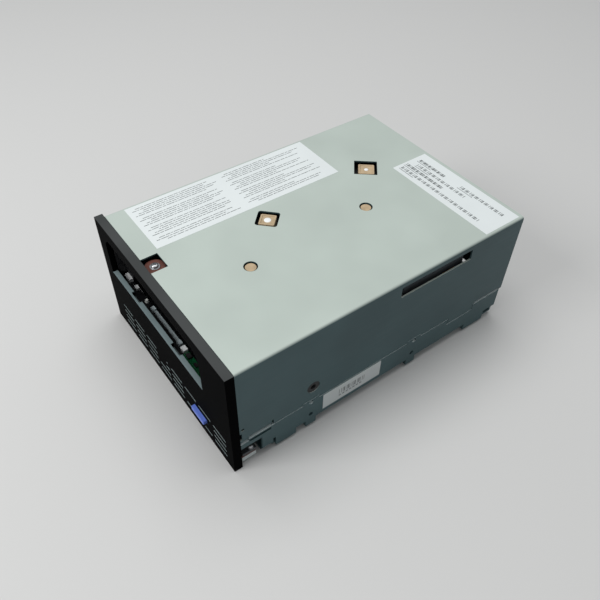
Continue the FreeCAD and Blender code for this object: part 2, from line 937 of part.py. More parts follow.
def base_pan():
    body = new_body("base_pan")
    rear_face = BASE_REAR - S.base_wall
    pad(body, "y", 0, BASE_REAR, [
        (-HALF, 0), (HALF, 0), (HALF, BASE_HIGH), (BASE_INNER, BASE_HIGH),
        (BASE_INNER, S.base_wall), (-BASE_INNER, S.base_wall), (-BASE_INNER, BASE_HIGH), (-HALF, BASE_HIGH)])
    pad(body, "y", rear_face, BASE_REAR, rect(-BASE_INNER, BASE_INNER, S.base_wall, BASE_HIGH))
    laps = [rect(x - S.lap_half, x + S.lap_half, BASE_HIGH, BASE_HIGH + S.lap_rise) for x in REAR_SCREWS]
    pad(body, "y", rear_face, BASE_REAR, *laps)
    tabs = [rect(y - S.tab_margin, y + S.tab_margin, BASE_HIGH, TAB_HIGH) for y in SCREW_ROWS]
    mirror(body, pad(body, "x", BASE_INNER, HALF, *tabs))
    mirror(body, pocket(body, "x", BASE_INNER - S.fit_gap, HALF + PAST, *base_side_cuts()))
    corner = rect(BRACKET_INNER - S.fit_gap, HALF + PAST, -PAST, S.corner_cut_length)
    mirror(body, pocket(body, "z", -PAST, S.base_wall + PAST, corner))
    ears = (S.corner_cut_length, S.corner_chamfer_rear, S.foot_front, SCREW_ROWS[0] - S.ear_half,
            SCREW_ROWS[0] + S.ear_half, SCREW_ROWS[1] - S.ear_half, SCREW_ROWS[1] + S.ear_half, S.foot_rear)
    over = S.chamfer_over
    for front, rear in zip(ears[::2], ears[1::2]):
        bevel = [(HALF + over, -over), (HALF + over, S.chamfer_rise), (HALF, S.chamfer_rise),
                 (HALF - S.chamfer_run, -over)]
        mirror(body, pocket(body, "y", front, rear, bevel))
    bottom = [circle(side * BOTTOM_SCREW, y, S.mount_radius) for side in SIDES for y in SCREW_ROWS]
    pocket(body, "z", -PAST, S.base_wall + PAST, *bottom)
    ports = [rect(left - S.fit_gap, right + S.fit_gap, BOARD_TOP - S.fit_gap, high + S.fit_gap)
             for left, right, high in PORTS]
    threads = [circle(x, REAR_SCREW_HEIGHT, S.rear_screw) for x in REAR_SCREWS]
    pocket(body, "y", rear_face - PAST, BASE_REAR + PAST, *ports, *threads)
    node("base_pan", body)


def base_side_cuts():
    """Cuts in the right wall of the base, and its mounting holes."""
    notch = S.corner_chamfer_rear
    return [
        rect(-PAST, S.corner_cut_length, -PAST, S.corner_floor),
        rect(notch, notch + S.corner_notch, -PAST, S.corner_notch_high),
        rect(S.step_front, S.step_rear, S.step_height, BASE_HIGH + PAST),
        rect(-PAST, S.hem_front, BASE_HIGH - S.hem_tip_drop, BASE_HIGH + PAST),
        rect(S.hem_front + S.hem_slit_end, S.hem_rear - S.hem_slit_end,
             SLIT_LOW, SLIT_LOW + S.hem_slit_height),
        rect(S.foot_end, BASE_REAR + PAST, -PAST, S.tail_height),
        *[circle(y, z, S.mount_radius) for y in SCREW_ROWS for z in (S.screw_low, S.screw_high)],
    ]


VENT_SKIPS = ((1, 1), (1, 2), (2, 1), (2, 2))
VENT_PARTS = {(4, 3): (0.77, 0.89), (4, 2): (0.65, 1.0), (2, 0): (0.0, 0.38), (1, 0): (0.38, 1.0)}


def vent_slits():
    """Rows of slits below the slot, left out or shortened round the button."""
    slits = []
    for column in range(count_of(S.vent_columns)):
        left = HALF - S.vent_margin_right - VENT_PITCH * column
        for row in range(count_of(S.vent_rows)):
            if (column, row) in VENT_SKIPS:
                continue
            low = S.vent_low + S.vent_rise * row - S.vent_slit / 2
            start, end = VENT_PARTS.get((column, row), (0.0, 1.0))
            slits.append(rect(left + VENT_LENGTH * start, left + VENT_LENGTH * end, low, low + S.vent_slit))
    return slits


def button_hole(gap):
    left = BUTTON_ACROSS - S.button_width / 2 - gap
    low = S.button_height - S.button_thickness / 2 - gap
    return rect(left, left + S.button_width + 2 * gap, low, low + S.button_thickness + 2 * gap)


def front_bezel():
    body = new_body("front_bezel")
    pad(body, "y", BEZEL_FACE, 0, rect(BEZEL_LEFT, HALF, -S.bezel_drop, BEZEL_TOP))
    rim = S.bezel_rim
    pocket(body, "y", BEZEL_BACK, PAST,
           rect(rim - HALF, HALF - rim, rim - S.bezel_drop, BEZEL_TOP - rim))
    slot_shape = [(SLOT_LEFT, SLOT_LOW), (SLOT_RIGHT, SLOT_LOW), (SLOT_RIGHT, SLOT_HIGH, S.slot_radius),
                  (SLOT_LEFT, SLOT_HIGH, S.slot_radius)]
    pocket(body, "y", BEZEL_FACE - PAST, BEZEL_BACK + PAST, slot_shape)
    half = S.recess_width / 2
    recesses = [rect(x - half, x + half, SLOT_LOW - S.recess_drop, SLOT_LOW + PAST)
                for x in (S.recess_left, S.recess_right)]
    pocket(body, "y", BEZEL_BACK - S.recess_depth, BEZEL_BACK + PAST, *recesses)
    pocket(body, "y", BEZEL_FACE - PAST, BEZEL_BACK + PAST, *vent_slits(), button_hole(S.fit_gap))
    outer = INNER - S.fit_gap
    tongue = pad(body, "x", outer - S.tongue_thickness, outer,
                 rect(BEZEL_BACK - PAST, S.tongue_rear, S.tongue_low, S.tongue_high))
    nub = pad(body, "x", outer, HALF - S.fit_gap, rect(
        S.latch_setback - S.nub / 2, S.latch_setback + S.nub / 2,
        S.latch_height - S.nub / 2, S.latch_height + S.nub / 2))
    mirror(body, tongue + nub)
    node("front_bezel", body)


def eject_button():
    """Cap, lip behind the bezel and stem that reaches the switch at full travel."""
    body = new_body("eject_button")
    lip = BEZEL_BACK + S.button_lip
    pad(body, "y", BEZEL_FACE - S.button_proud, BEZEL_BACK, button_hole(0))
    pad(body, "y", BEZEL_BACK, lip, button_hole(S.button_lip))
    pad(body, "y", lip, S.switch_front - S.button_travel - S.switch_gap,
        circle(BUTTON_ACROSS, S.button_height, S.button_stem))
    node("eject_button", body)


# Frame that carries the mechanism

def deck_casting():
    body = new_body("deck_casting")
    pad(body, "z", S.deck_low, DECK_TOP,
        rect(-DECK_HALF, DECK_HALF, S.deck_front, S.deck_rear, S.deck_corner))
    ear_face = INNER - S.ear_thickness
    ear = pad(body, "x", ear_face - S.ear_thickness, ear_face, rect(
        S.grommet_setback - S.ear_half_length, S.grommet_setback + S.ear_half_length,
        S.deck_low, S.grommet_height + S.ear_rise))
    left = HALF - S.arm_inset
    rear = S.deck_front + S.ear_thickness
    leg = pad(body, "z", RUBBER_TOP, S.deck_low, rect(
        left, left + S.arm_width, S.deck_front - S.ear_thickness / 2, rear))
    foot = pad(body, "z", RUBBER_TOP, ARM_TOP, rect(left, MOUNT_ACROSS + S.washer_radius, S.arm_front, rear))
    hole = pocket(body, "z", RUBBER_TOP - PAST, ARM_TOP + PAST,
                  circle(MOUNT_ACROSS, S.mount_along, S.shank_radius + S.screw_hole_gap))
    mirror(body, ear + leg + foot + hole)
    pocket(body, "x", -HALF, HALF, circle(S.grommet_setback, S.grommet_height, S.grommet_bore))
    node("deck_casting", body)


def posts(label, low, high, places):
    pieces = [cut(rod(x, y, low, S.post_radius, high - low),
                  rod(x, y, low, S.mount_radius, S.post_radius * 2)) for x, y in places]
    node(label, group(*pieces))


def top_plate():
    body = new_body("top_plate")
    pad(body, "z", PLATE_LOW, PLATE_TOP, rect(
        -PLATE_HALF, PLATE_HALF, S.top_plate_front, S.top_plate_rear, S.top_plate_corner))
    places = [(S.top_mount_across, S.top_mount_along)] + [square[:2] for square in SQUARE_PADS]
    pocket(body, "z", PLATE_LOW - PAST, PLATE_TOP + PAST,
           *[circle(x, y, S.shank_radius + S.screw_hole_gap) for x, y in places])
    node("top_plate", body)


def isolator_pads():
    pieces = []
    for x, y, half, stud, lean in SQUARE_PADS:
        body = new_body("pad")
        pad(body, "z", PLATE_TOP, PAD_TOP, diamond(x, y, half, S.pad_corner, lean))
        pocket(body, "z", PAD_TOP - S.pad_recess, PAD_TOP + PAST, diamond(x, y, half - S.pad_rim, lean=lean))
        pocket(body, "z", PLATE_TOP - PAST, PAD_TOP, circle(x, y, S.shank_radius + S.screw_hole_gap))
        pieces.append(body)
    radius = S.hole_radius - S.pad_round_gap
    pieces += [rod(x, y, PLATE_TOP, radius, S.pad_height) for x, y in ROUND_PADS]
    node("isolator_pads", group(*pieces))


def screw(x, y, seat, shank_end, head_radius, washer_radius):
    """Pan-head screw on its washer, its shank going down."""
    washer = rod(x, y, seat, washer_radius, S.washer_height)
    head_low = seat + S.washer_height
    head = rod(x, y, head_low, head_radius, S.head_height)
    middle, top = head_low + S.head_height / 2, head_low + S.head_height
    slit = box(x - head_radius, x + head_radius, y - S.slit_half, y + S.slit_half, middle, top)
    shank = rod(x, y, shank_end, S.shank_radius, seat - shank_end)
    return cut(fuse(washer, head, shank), slit)


def pad_screws():
    """Studs through the square pads, each with a low round head."""
    pieces = []
    for x, y, half, radius, lean in SQUARE_PADS:
        seat = PAD_TOP - S.pad_recess
        shank = rod(x, y, PLATE_LOW, S.shank_radius, seat - PLATE_LOW)
        pieces.append(fuse(shank, rod(x, y, seat, radius, S.pad_stud_height)))
    node("pad_screws", group(*pieces))


def front_mounts():
    brackets, rubbers, screws = [], [], []
    hole = S.shank_radius + S.screw_hole_gap
    y = S.mount_along
    for side in SIDES:
        x = side * MOUNT_ACROSS
        left, right = both(side, BRACKET_INNER, BRACKET_EDGE)
        slab = box(left, right, S.bracket_front, S.bracket_rear, 0, S.bracket_high)
        left, right = both(side, BRACKET_INNER - S.bracket_lap, BRACKET_INNER)
        lap = box(left, right, S.bracket_front, S.bracket_rear, S.base_wall, S.bracket_high)
        brackets.append(cut(fuse(slab, lap), rod(x, y, 0, hole, S.bracket_high)))
        left, right = both(side, BRACKET_EDGE - S.rubber_width, BRACKET_EDGE - S.fit_gap)
        block = box(left, right, S.rubber_front, S.bracket_rear, S.bracket_high, RUBBER_TOP)
        rubbers.append(cut(block, rod(x, y, S.bracket_high, hole, S.rubber_height)))
        screws.append(screw(x, y, ARM_TOP, S.fit_gap, S.head_radius, S.washer_radius))
    x, y = S.top_mount_across, S.top_mount_along
    rubbers.append(cut(rod(x, y, PLATE_TOP, S.top_rubber_radius, S.top_rubber_height),
                       rod(x, y, PLATE_TOP, hole, S.top_rubber_height)))
    screws.append(screw(x, y, PLATE_TOP + S.top_rubber_height, PLATE_LOW,
                        S.top_head_radius, S.top_washer_radius))
    node("front_brackets", group(*brackets))
    node("mount_grommets", group(*rubbers))
    node("mount_screws", group(*screws))


def side_grommets():
    pieces = []
    y, z = S.grommet_setback, S.grommet_height
    flange_face, collar_face = INNER - S.ear_thickness, HALF - S.screw_hole_gap * 2
    for side in SIDES:
        inner, outer = both(side, flange_face, INNER)
        flange = rod(inner, y, z, S.grommet_radius + S.grommet_flange, outer - inner, "x")
        left, right = both(side, INNER, collar_face)
        collar = rod(left, y, z, S.grommet_radius, right - left, "x")
        start, end = both(side, flange_face, collar_face)
        pieces.append(cut(fuse(flange, collar), rod(start, y, z, S.grommet_bore, end - start, "x")))
    node("side_grommets", group(*pieces))


# Cartridge loader

def loader_side(label, side):
    low, high = both(side, PLATE_NEAR, PLATE_FAR)
    near, far = S.slot_centre + low, S.slot_centre + high
    body = new_body(label)
    pad(body, "x", near, far, [
        (S.side_plate_front, BAR_BASE - S.side_plate_drop), (S.deck_front + S.side_plate, DECK_TOP),
        (S.side_plate_rear, DECK_TOP), (S.side_plate_rear, PLATE_LOW), (S.side_plate_front, PLATE_LOW)])
    radius = S.pin_radius + S.pin_slot_gap
    grooves = [slot(y, PIN_HEIGHT, y + S.load_travel, S.pin_low, radius)
               for y in (S.pin_front, S.pin_rear)]
    pocket(body, "x", near - PAST, far + PAST, *grooves)
    if side > 0:
        places = [(y, STUD_HEIGHT) for y in (S.stud_front, S.stud_rear)]
        head_face = SLIDER_FAR + S.fit_gap
        pad(body, "x", far, head_face, *[circle(y, z, S.stud_radius) for y, z in places])
        pad(body, "x", head_face, head_face + S.stud_head_height,
            *[circle(y, z, S.stud_radius + S.stud_head) for y, z in places])
        pad(body, "x", far, WHEEL_ACROSS + S.wheel_face / 2 + S.axle_end,
            circle(S.gear_along, S.gear_height, S.axle_radius))
    node(label, body)


def slot_crossbar():
    node("slot_crossbar", box(S.slot_centre - PLATE_NEAR, S.slot_centre + PLATE_NEAR,
                              S.side_plate_front, S.crossbar_rear, BAR_BASE, BAR_LOW))


CORNER_SENSORS = ((1.5, 8.5, 0.6, 0.0, 2.8), (14.0, 17.5, 1.2, 0.0, 2.2))
INNER_SENSORS = ((9.6, 13.6, 0.4, 0.0, 3.0),)
SENSOR_CHIPS = ((15.6, 19.6, 0.2, 0.6, 1.5), (24.0, 27.0, 0.8, 0.8, 1.0))
GUIDE_STRIP = ((-28.7, 7.4, 1.4, 0.0, 1.6), (-28.7, -25.3, 0.8, 0.0, 2.6), (4.0, 7.4, 0.8, 0.0, 2.6))


def bar_blocks(rows, start=0.0, low=0.0):
    """Blocks on the crossbar from rows of left, right, front, setback and height."""
    rear, level = S.crossbar_rear - S.bar_margin, BAR_LOW + low
    return [box(start + left, start + right, front, rear - setback, level, level + tall)
            for left, right, front, setback, tall in rows]


def slot_parts():
    """Small parts on the crossbar that show through the slot."""
    front = S.side_plate_front + S.bar_margin
    left, right = S.sensor_board_left, SLOT_RIGHT - S.sensor_board_gap
    node("front_sensor_board", *bar_blocks([(left, right, front, 0.0, S.sensor_board)]))
    node("slot_sensors", group(*bar_blocks(CORNER_SENSORS, start=SLOT_LEFT), *bar_blocks(INNER_SENSORS)))
    node("sensor_board_chips", group(*bar_blocks(SENSOR_CHIPS, low=S.sensor_board)))
    lens_low = BAR_LOW + S.led_flange
    node("status_led", fuse(rod(S.led_across, S.led_along, BAR_LOW, S.led_radius, S.led_flange),
                            rod(S.led_across, S.led_along, lens_low, S.led_radius - S.fit_gap, S.led_flange)))
    node("slot_bar", fuse(*bar_blocks(GUIDE_STRIP)))


def cartridge_tray():
    body = new_body("cartridge_tray")
    centre, top = S.slot_centre, TRAY_TOP
    front, rear = S.tray_front, S.tray_front + S.tray_length
    pad(body, "z", top, top + S.tray_wall,
        rect(centre - TRAY_OUTER, centre + TRAY_OUTER, front + S.tray_roof_front, rear))
    pins = [circle(y, PIN_HEIGHT, S.pin_radius) for y in (S.pin_front, S.pin_rear)]
    for side in SIDES:
        wall = both(side, TRAY_HALF, TRAY_OUTER)
        pad(body, "x", centre + wall[0], centre + wall[1], [
            (front, TRAY_LOW), (rear, TRAY_LOW), (rear, top), (front + S.tray_slope, top),
            (front, top - S.tray_slope_drop)])
        ledge = both(side, TRAY_HALF - S.tray_ledge, TRAY_HALF)
        pad(body, "z", TRAY_LOW, TRAY_LOW + S.tray_wall,
            rect(centre + ledge[0], centre + ledge[1], front, rear))
        reach = PLATE_FAR if side < 0 else SLIDER_FAR - centre
        ends = both(side, TRAY_OUTER, reach + S.pin_end_gap / 2)
        pad(body, "x", centre + ends[0], centre + ends[1], *pins)
    pad(body, "y", rear - S.tray_wall, rear,
        rect(centre - S.tray_stop_half, centre + S.tray_stop_half, top - S.tray_stop_drop, top))
    node("cartridge_tray", body)


def loader_slider():
    body = new_body("loader_slider")
    root = RACK_HEIGHT + S.root_depth
    tip = RACK_HEIGHT - S.tooth_height
    pad(body, "x", SLIDER_NEAR, SLIDER_FAR, rect(S.slider_front, S.slider_rear, root, SLIDER_TOP))
    radius = S.pin_radius + S.pin_slot_gap
    guides = [slot(y, S.pin_low, y, PIN_HEIGHT, radius) for y in (S.pin_front, S.pin_rear)]
    rails = [slot(y - S.load_travel, STUD_HEIGHT, y, STUD_HEIGHT, S.stud_radius + S.pin_slot_gap)
             for y in (S.stud_front, S.stud_rear)]
    pocket(body, "x", SLIDER_NEAR - PAST, SLIDER_FAR + PAST, *guides, *rails)
    for index in range(-count_of(S.rack_before), count_of(S.rack_after)):
        y = S.gear_along + TOOTH_PITCH * index
        pad(body, "x", SLIDER_NEAR, SLIDER_FAR, [
            (y - S.tooth_root, root), (y - S.tooth_tip, tip), (y + S.tooth_tip, tip),
            (y + S.tooth_root, root)])
    node("loader_slider", body)


def tooth_gap(pitch_radius):
    """Tapered gap between two teeth, drawn through the rim on the X axis."""
    root, tip = pitch_radius - S.root_depth, pitch_radius + S.tooth_height + S.fit_gap
    return [(root, -S.gap_root), (tip, -S.gap_tip), (tip, S.gap_tip), (root, S.gap_root)]


def toothed_disc(body, low, high, pitch_radius, teeth):
    pad(body, "z", low, high, circle(0, 0, pitch_radius + S.tooth_height))
    gap = pocket(body, "z", low - S.fit_gap, high + S.fit_gap, tooth_gap(pitch_radius))
    repeat_round(body, gap, teeth)


def worm_wheel():
    """Pinion and wheel on one hub, turning on the side plate's axle."""
    body = new_body("worm_wheel")
    start = S.wheel_reach - S.wheel_face / 2
    end = start + S.wheel_face
    toothed_disc(body, 0, S.slider_thickness, PINION_RADIUS, S.pinion_teeth)
    toothed_disc(body, start, end, WHEEL_RADIUS, S.wheel_teeth)
    pad(body, "z", S.slider_thickness, start, circle(0, 0, S.axle_radius + S.gear_hub))
    pocket(body, "z", -PAST, end + PAST, circle(0, 0, S.axle_radius + S.running_gap))
    place(body, SLIDER_NEAR, S.gear_along, S.gear_height, "x")
    node("worm_wheel", body)


def worm():
    """Shaft with one thread whose middle turn at the wheel lies in a tooth gap."""
    pitch = float(TOOTH_PITCH)
    length = pitch * float(S.worm_turns)
    core = float(WORM_RADIUS - S.root_depth)
    tip = float(WORM_RADIUS + S.tooth_height)
    root_half, tip_half, sink = float(S.tooth_root), float(S.tooth_tip), float(S.thread_sink)
    start = S.gear_along - S.worm_turns * TOOTH_PITCH / 2
    outline = ((core - sink, -root_half), (tip, -tip_half), (tip, tip_half), (core - sink, root_half))
    points = [FreeCAD.Vector(r, 0, z) for r, z in outline + outline[:1]]
    path = Part.Wire(Part.makeHelix(pitch, length, core))
    thread = path.makePipeShell([Part.makePolygon(points)], True, True)
    end = float(S.worm_end)
    barrel = Part.makeCylinder(core, length + 2 * end, FreeCAD.Vector(0, 0, -end))
    reach = float(start - S.motor_face + S.shaft_sink)
    shaft = Part.makeCylinder(float(S.motor_shaft), reach, FreeCAD.Vector(0, 0, -reach))
    piece = DOC.addObject("Part::Feature", "worm")
    piece.Shape = barrel.fuse([thread, shaft])
    node("worm", place(piece, WHEEL_ACROSS, start, WORM_HEIGHT, "y"))


def loader_motor():
    face = S.motor_face
    can = rod(WHEEL_ACROSS, face - S.motor_length, WORM_HEIGHT, S.motor_radius, S.motor_length, "y")
    depth = S.shaft_sink + S.fit_gap
    bore = rod(WHEEL_ACROSS, face - depth, WORM_HEIGHT, S.motor_shaft + S.running_gap, depth, "y")
    node("loader_motor", cut(can, bore))
    left, right = WHEEL_ACROSS - S.bracket_reach, WHEEL_ACROSS + S.motor_radius - S.fit_gap
    plate = box(left, right, face, face + S.bracket_thickness, DECK_TOP, WORM_HEIGHT + S.motor_radius + PAST)
    foot = box(left, WHEEL_ACROSS + S.bracket_foot, face - S.bracket_foot_length, face,
               DECK_TOP, DECK_TOP + S.bracket_thickness)
    hole = rod(WHEEL_ACROSS, face, WORM_HEIGHT, S.bracket_hole, S.bracket_thickness, "y")
    node("motor_bracket", cut(fuse(plate, foot), hole))


# Reels and tape path

def reel_motor(label, x, y, radius, top):
    bore, floor = S.spindle_radius + S.running_gap, top - S.spindle_depth - S.bore_gap
    edge = S.motor_edge
    body = lathe(label, [
        (0, DECK_TOP), (radius, DECK_TOP), (radius, top - edge), (radius - edge, top), (bore, top),
        (bore, floor), (0, floor)])
    node(label, place(body, x, y, 0))


def supply_clutch():
    low = SUPPLY_TOP + S.fit_gap
    top = low + S.clutch_height
    dish, edge, cone = S.clutch_dish, S.clutch_edge, S.clutch_cone
    body = lathe("supply_clutch", [
        (0, SUPPLY_TOP - S.spindle_depth), (S.spindle_radius, SUPPLY_TOP - S.spindle_depth),
        (S.spindle_radius, low), (S.clutch_radius, low), (S.clutch_radius, top), (dish, top),
        (dish - edge, top - edge), (cone, top - edge), (cone, top + S.clutch_tooth),
        (0, top + S.clutch_tooth)])
    tooth = rect(dish + edge, S.clutch_radius - S.clutch_tooth, -S.clutch_tooth, S.clutch_tooth)
    repeat_round(body, pad(body, "z", top - S.fit_gap, top + S.clutch_tooth, tooth), S.clutch_teeth)
    node("supply_clutch", place(body, S.slot_centre, S.supply_along, 0))


def takeup_reel():
    """Hub with its spindle, and the two flanges pressed on its ends."""
    start, low = TAKEUP_TOP - S.spindle_depth, TAKEUP_TOP + S.fit_gap
    lower, upper = S.reel_low + S.flange_thickness, REEL_TOP - S.flange_thickness
    collar, boss = S.reel_collar, S.boss_radius
    hub = lathe("takeup_reel", [
        (0, start), (S.spindle_radius, start), (S.spindle_radius, low), (collar, low), (collar, lower),
        (S.reel_hub, lower), (S.reel_hub, upper), (boss, upper), (boss, upper - S.boss_depth),
        (0, upper - S.boss_depth)])
    pocket(hub, "z", lower, upper,
           rect(S.reel_hub - S.leader_depth, S.reel_hub + PAST, -S.leader_half, S.leader_half))
    node("takeup_reel", place(hub, S.takeup_across, S.takeup_along, 0))
    flange("reel_flange_lower", S.reel_low, lower)
    flange("reel_flange_upper", upper, REEL_TOP)


def flange(label, low, high):
    body = lathe(label, [
        (S.reel_collar, low), (S.reel_radius, low), (S.reel_radius, high), (S.reel_collar, high)])
    ring, half = S.window_ring, S.window_half
    window = pocket(body, "z", low - PAST, high + PAST, slot(ring, -half, ring, half, S.window_end))
    repeat_round(body, window, S.flange_windows)
    node(label, place(body, S.takeup_across, S.takeup_along, 0))


def tape_path():
    pins = []
    hole, gap, lip = S.roller_post + S.running_gap, S.fit_gap, S.roller_flange
    for index, (x, y) in enumerate(ROLLERS, start=1):
        collar = rod(x, y, DECK_TOP, S.roller_post + S.roller_collar, ROLLER_LOW - gap - DECK_TOP)
        pin = rod(x, y, ROLLER_LOW - gap, S.roller_post, ROLLER_TOP + 2 * gap - ROLLER_LOW)
        cap = rod(x, y, ROLLER_TOP + gap, S.roller_post + lip, S.roller_cap)
        pins.append(fuse(collar, pin, cap))
        label = f"guide_roller_{index}"
        rim, hub, edge = S.roller_radius, S.roller_hub, lip - S.roller_taper
        body = lathe(label, [
            (hole, ROLLER_LOW), (rim, ROLLER_LOW), (rim, ROLLER_LOW + edge), (hub, ROLLER_LOW + lip),
            (hub, ROLLER_TOP - lip), (rim, ROLLER_TOP - edge), (rim, ROLLER_TOP), (hole, ROLLER_TOP)])
        node(label, place(body, x, y, 0))
    node("roller_posts", group(*pins))


def head_unit():
    x, y = HEAD_ACROSS, S.head_along
    left, right = x - S.head_frame_reach, x + S.head_frame_reach
    front, rear = HEAD_RODS[0] - S.head_frame_end, HEAD_RODS[1] + S.head_frame_end
    screw_bore = S.head_screw + S.running_gap
    sink = S.lead_screw_sink
    node("head_stepper", cut(
        rod(x, y, DECK_TOP, S.stepper_radius, S.stepper_height),
        rod(x, y, STEPPER_TOP - sink - S.bore_gap, screw_bore, sink + S.bore_gap)))
    plate_top = STEPPER_TOP + S.head_plate
    lower = box(left, right, front, rear, STEPPER_TOP, plate_top)
    leg = S.head_plate
    legs = [box(left, right, *span, DECK_TOP, STEPPER_TOP)
            for span in ((front, front + leg), (rear - leg, rear))]
    rods = [rod(x, line, plate_top, S.head_rod, S.head_top - plate_top) for line in HEAD_RODS]
    upper = box(left, right, front, rear, S.head_top, S.head_top + S.head_plate)
    hole = rod(x, y, STEPPER_TOP, S.head_screw + S.fit_gap, S.head_plate)
    top_hole = rod(x, y, S.head_top, screw_bore, S.head_plate)
    node("head_frame", cut(fuse(lower, *legs, *rods, upper), hole, top_hole))
    length = S.head_top + S.head_plate - STEPPER_TOP + sink
    node("lead_screw", rod(x, y, STEPPER_TOP - sink, S.head_screw, length))
    low, high = S.carriage_low, S.carriage_low + S.carriage_height
    near = x - S.carriage_near
    block = box(near, x + S.carriage_far, HEAD_RODS[0] - S.carriage_end, HEAD_RODS[1] + S.carriage_end,
                low, high)
    bores = [rod(x, line, low, S.head_rod + S.running_gap, S.carriage_height) for line in HEAD_RODS]
    node("head_carriage", cut(block, *bores, rod(x, y, low, screw_bore, S.carriage_height)))
    face = INNER_ROLLER + S.roller_hub + S.head_tape_gap
    wide, narrow, rim = S.head_block_half, S.head_face_half, S.head_overhang
    body = new_body("tape_head")
    pad(body, "z", low - rim, high + rim, [
        (face + rim, y - wide), (near, y - wide), (near, y + wide), (face + rim, y + wide),
        (face, y + narrow), (face, y - narrow)])
    node("tape_head", body)


def threader_guide():
    """Rail beside the tape path, seen through the side window, on two feet on the head frame."""
    x, top = HEAD_ACROSS, S.head_top + S.head_plate
    rail = box(x + S.rail_near, x + S.rail_far, S.rail_front, S.rail_rear, S.rail_low, S.rail_high)
    feet = [box(x, x + S.rail_far, line - S.rail_foot, line + S.rail_foot, top, S.rail_low)
            for line in HEAD_RODS]
    node("threader_guide", fuse(rail, *feet))


def head_flex_cable():
    """Flat cable that stands on edge behind the head frame and reaches down to the deck."""
    front = HEAD_RODS[1] + S.head_frame_end
    left = HEAD_ACROSS + S.rail_near
    node("head_flex_cable", box(left, left + S.flex_thickness, front, front + S.flex_width,
                                DECK_TOP, S.flex_high))


# Electronics

def main_board():
    """Board with a tongue at the front that carries the button's switch."""
    body = new_body("main_board")
    half = S.switch_half + S.tongue_width
    left, right, front = BUTTON_ACROSS - half, BUTTON_ACROSS + half, S.board_front
    pad(body, "z", S.board_low, BOARD_TOP, [
        (-BOARD_HALF, front), (left, front), (left, S.tongue_front), (right, S.tongue_front), (right, front),
        (BOARD_HALF, front), (BOARD_HALF, S.board_rear), (-BOARD_HALF, S.board_rear)])
    pocket(body, "z", S.board_low - PAST, BOARD_TOP + PAST,
           *[circle(x, y, S.post_radius + S.fit_gap) for x, y in POSTS])
    node("main_board", body)


CHIPS = ((-40, 60, 24, 24, 2.4), (0, 60, 18, 18, 2.0), (-42, 110, 14, 20, 2.2), (-10, 112, 20, 20, 2.4),
         (24, 100, 12, 16, 2.0), (22, 138, 16, 12, 2.0), (-44, 150, 20, 12, 1.8), (34, 60, 10, 14, 2.0))
HEADERS = ((-60, 30, 5, 16, 6.0), (-20, 22, 22, 4, 5.0), (54, 60, 5, 20, 6.0), (8, 160, 26, 5, 6.5))
CANS = ((13, 150), (13, 160), (23, 172), (13, 172))


def board_blocks(rows):
    """Blocks on the board from rows of left, front, width, depth and height."""
    return group(*[box(x, x + wide, y, y + deep, BOARD_TOP, BOARD_TOP + tall)
                   for x, y, wide, deep, tall in rows])


def board_parts():
    node("board_chips", board_blocks(CHIPS))
    node("board_headers", board_blocks(HEADERS))
    node("board_capacitors", group(*[rod(BOARD_HALF - inset, y, BOARD_TOP, S.can_radius, S.can_height)
                                     for inset, y in CANS]))
    node("board_standoffs", group(*[rod(x, y, S.base_wall, S.standoff_radius, S.board_low - S.base_wall)
                                    for x, y in STANDOFFS]))
    x, front = BUTTON_ACROSS, S.switch_front
    node("button_switch", box(x - S.switch_half, x + S.switch_half, front, front + S.switch_length,
                              BOARD_TOP, S.switch_top))


def connector(label, left, right, high, plug_parts):
    rear = S.body_length - S.port_setback
    floor = rear - S.port_length + S.port_floor
    body = new_body(label)
    pad(body, "y", rear - S.port_length, rear, rect(left, right, BOARD_TOP, high))
    wall = S.port_wall
    pocket(body, "y", floor, rear + PAST, rect(left + wall, right - wall, BOARD_TOP + wall, high - wall))
    pad(body, "y", floor, rear - S.contact_setback, *plug_parts)
    node(label, body)


def connectors():
    data, power = PORTS
    middle = BOARD_TOP + S.data_height / 2
    inset, half = S.blade_inset, S.blade_half
    connector("data_connector", *data, [rect(data[0] + inset, data[1] - inset, middle - half, middle + half)])
    middle = BOARD_TOP + S.power_height / 2
    centre = power[0] + S.power_width / 2
    pins = [circle(centre + step * S.power_pitch, middle, S.power_pin) for step in (-1.5, -0.5, 0.5, 1.5)]
    connector("power_connector", *power, pins)


def cover_screws():
    pieces = []
    front = BASE_REAR - S.base_wall
    for x in REAR_SCREWS:
        head = rod(x, S.body_length, REAR_SCREW_HEIGHT, S.rear_screw_head, S.rear_screw_head_height, "y")
        shank = rod(x, front, REAR_SCREW_HEIGHT, S.rear_screw - S.running_gap, S.body_length - front, "y")
        pieces.append(fuse(head, shank))
    node("cover_screws", group(*pieces))


def labels():
    low, high = S.body_height, S.body_height + S.label_thickness
    left = -(HALF - S.top_label_edge)
    node("top_label", box(left, S.top_label_right, S.top_label_front, S.top_label_rear, low, high))
    right = HALF - S.rear_label_edge
    node("rear_label", box(right - S.rear_label_width, right, S.rear_label_front,
                           S.body_length - S.rear_label_end, low, high))
    node("side_label", box(HALF, HALF + S.label_thickness, S.side_label_front, S.side_label_rear,
                           S.side_label_low, S.side_label_high))


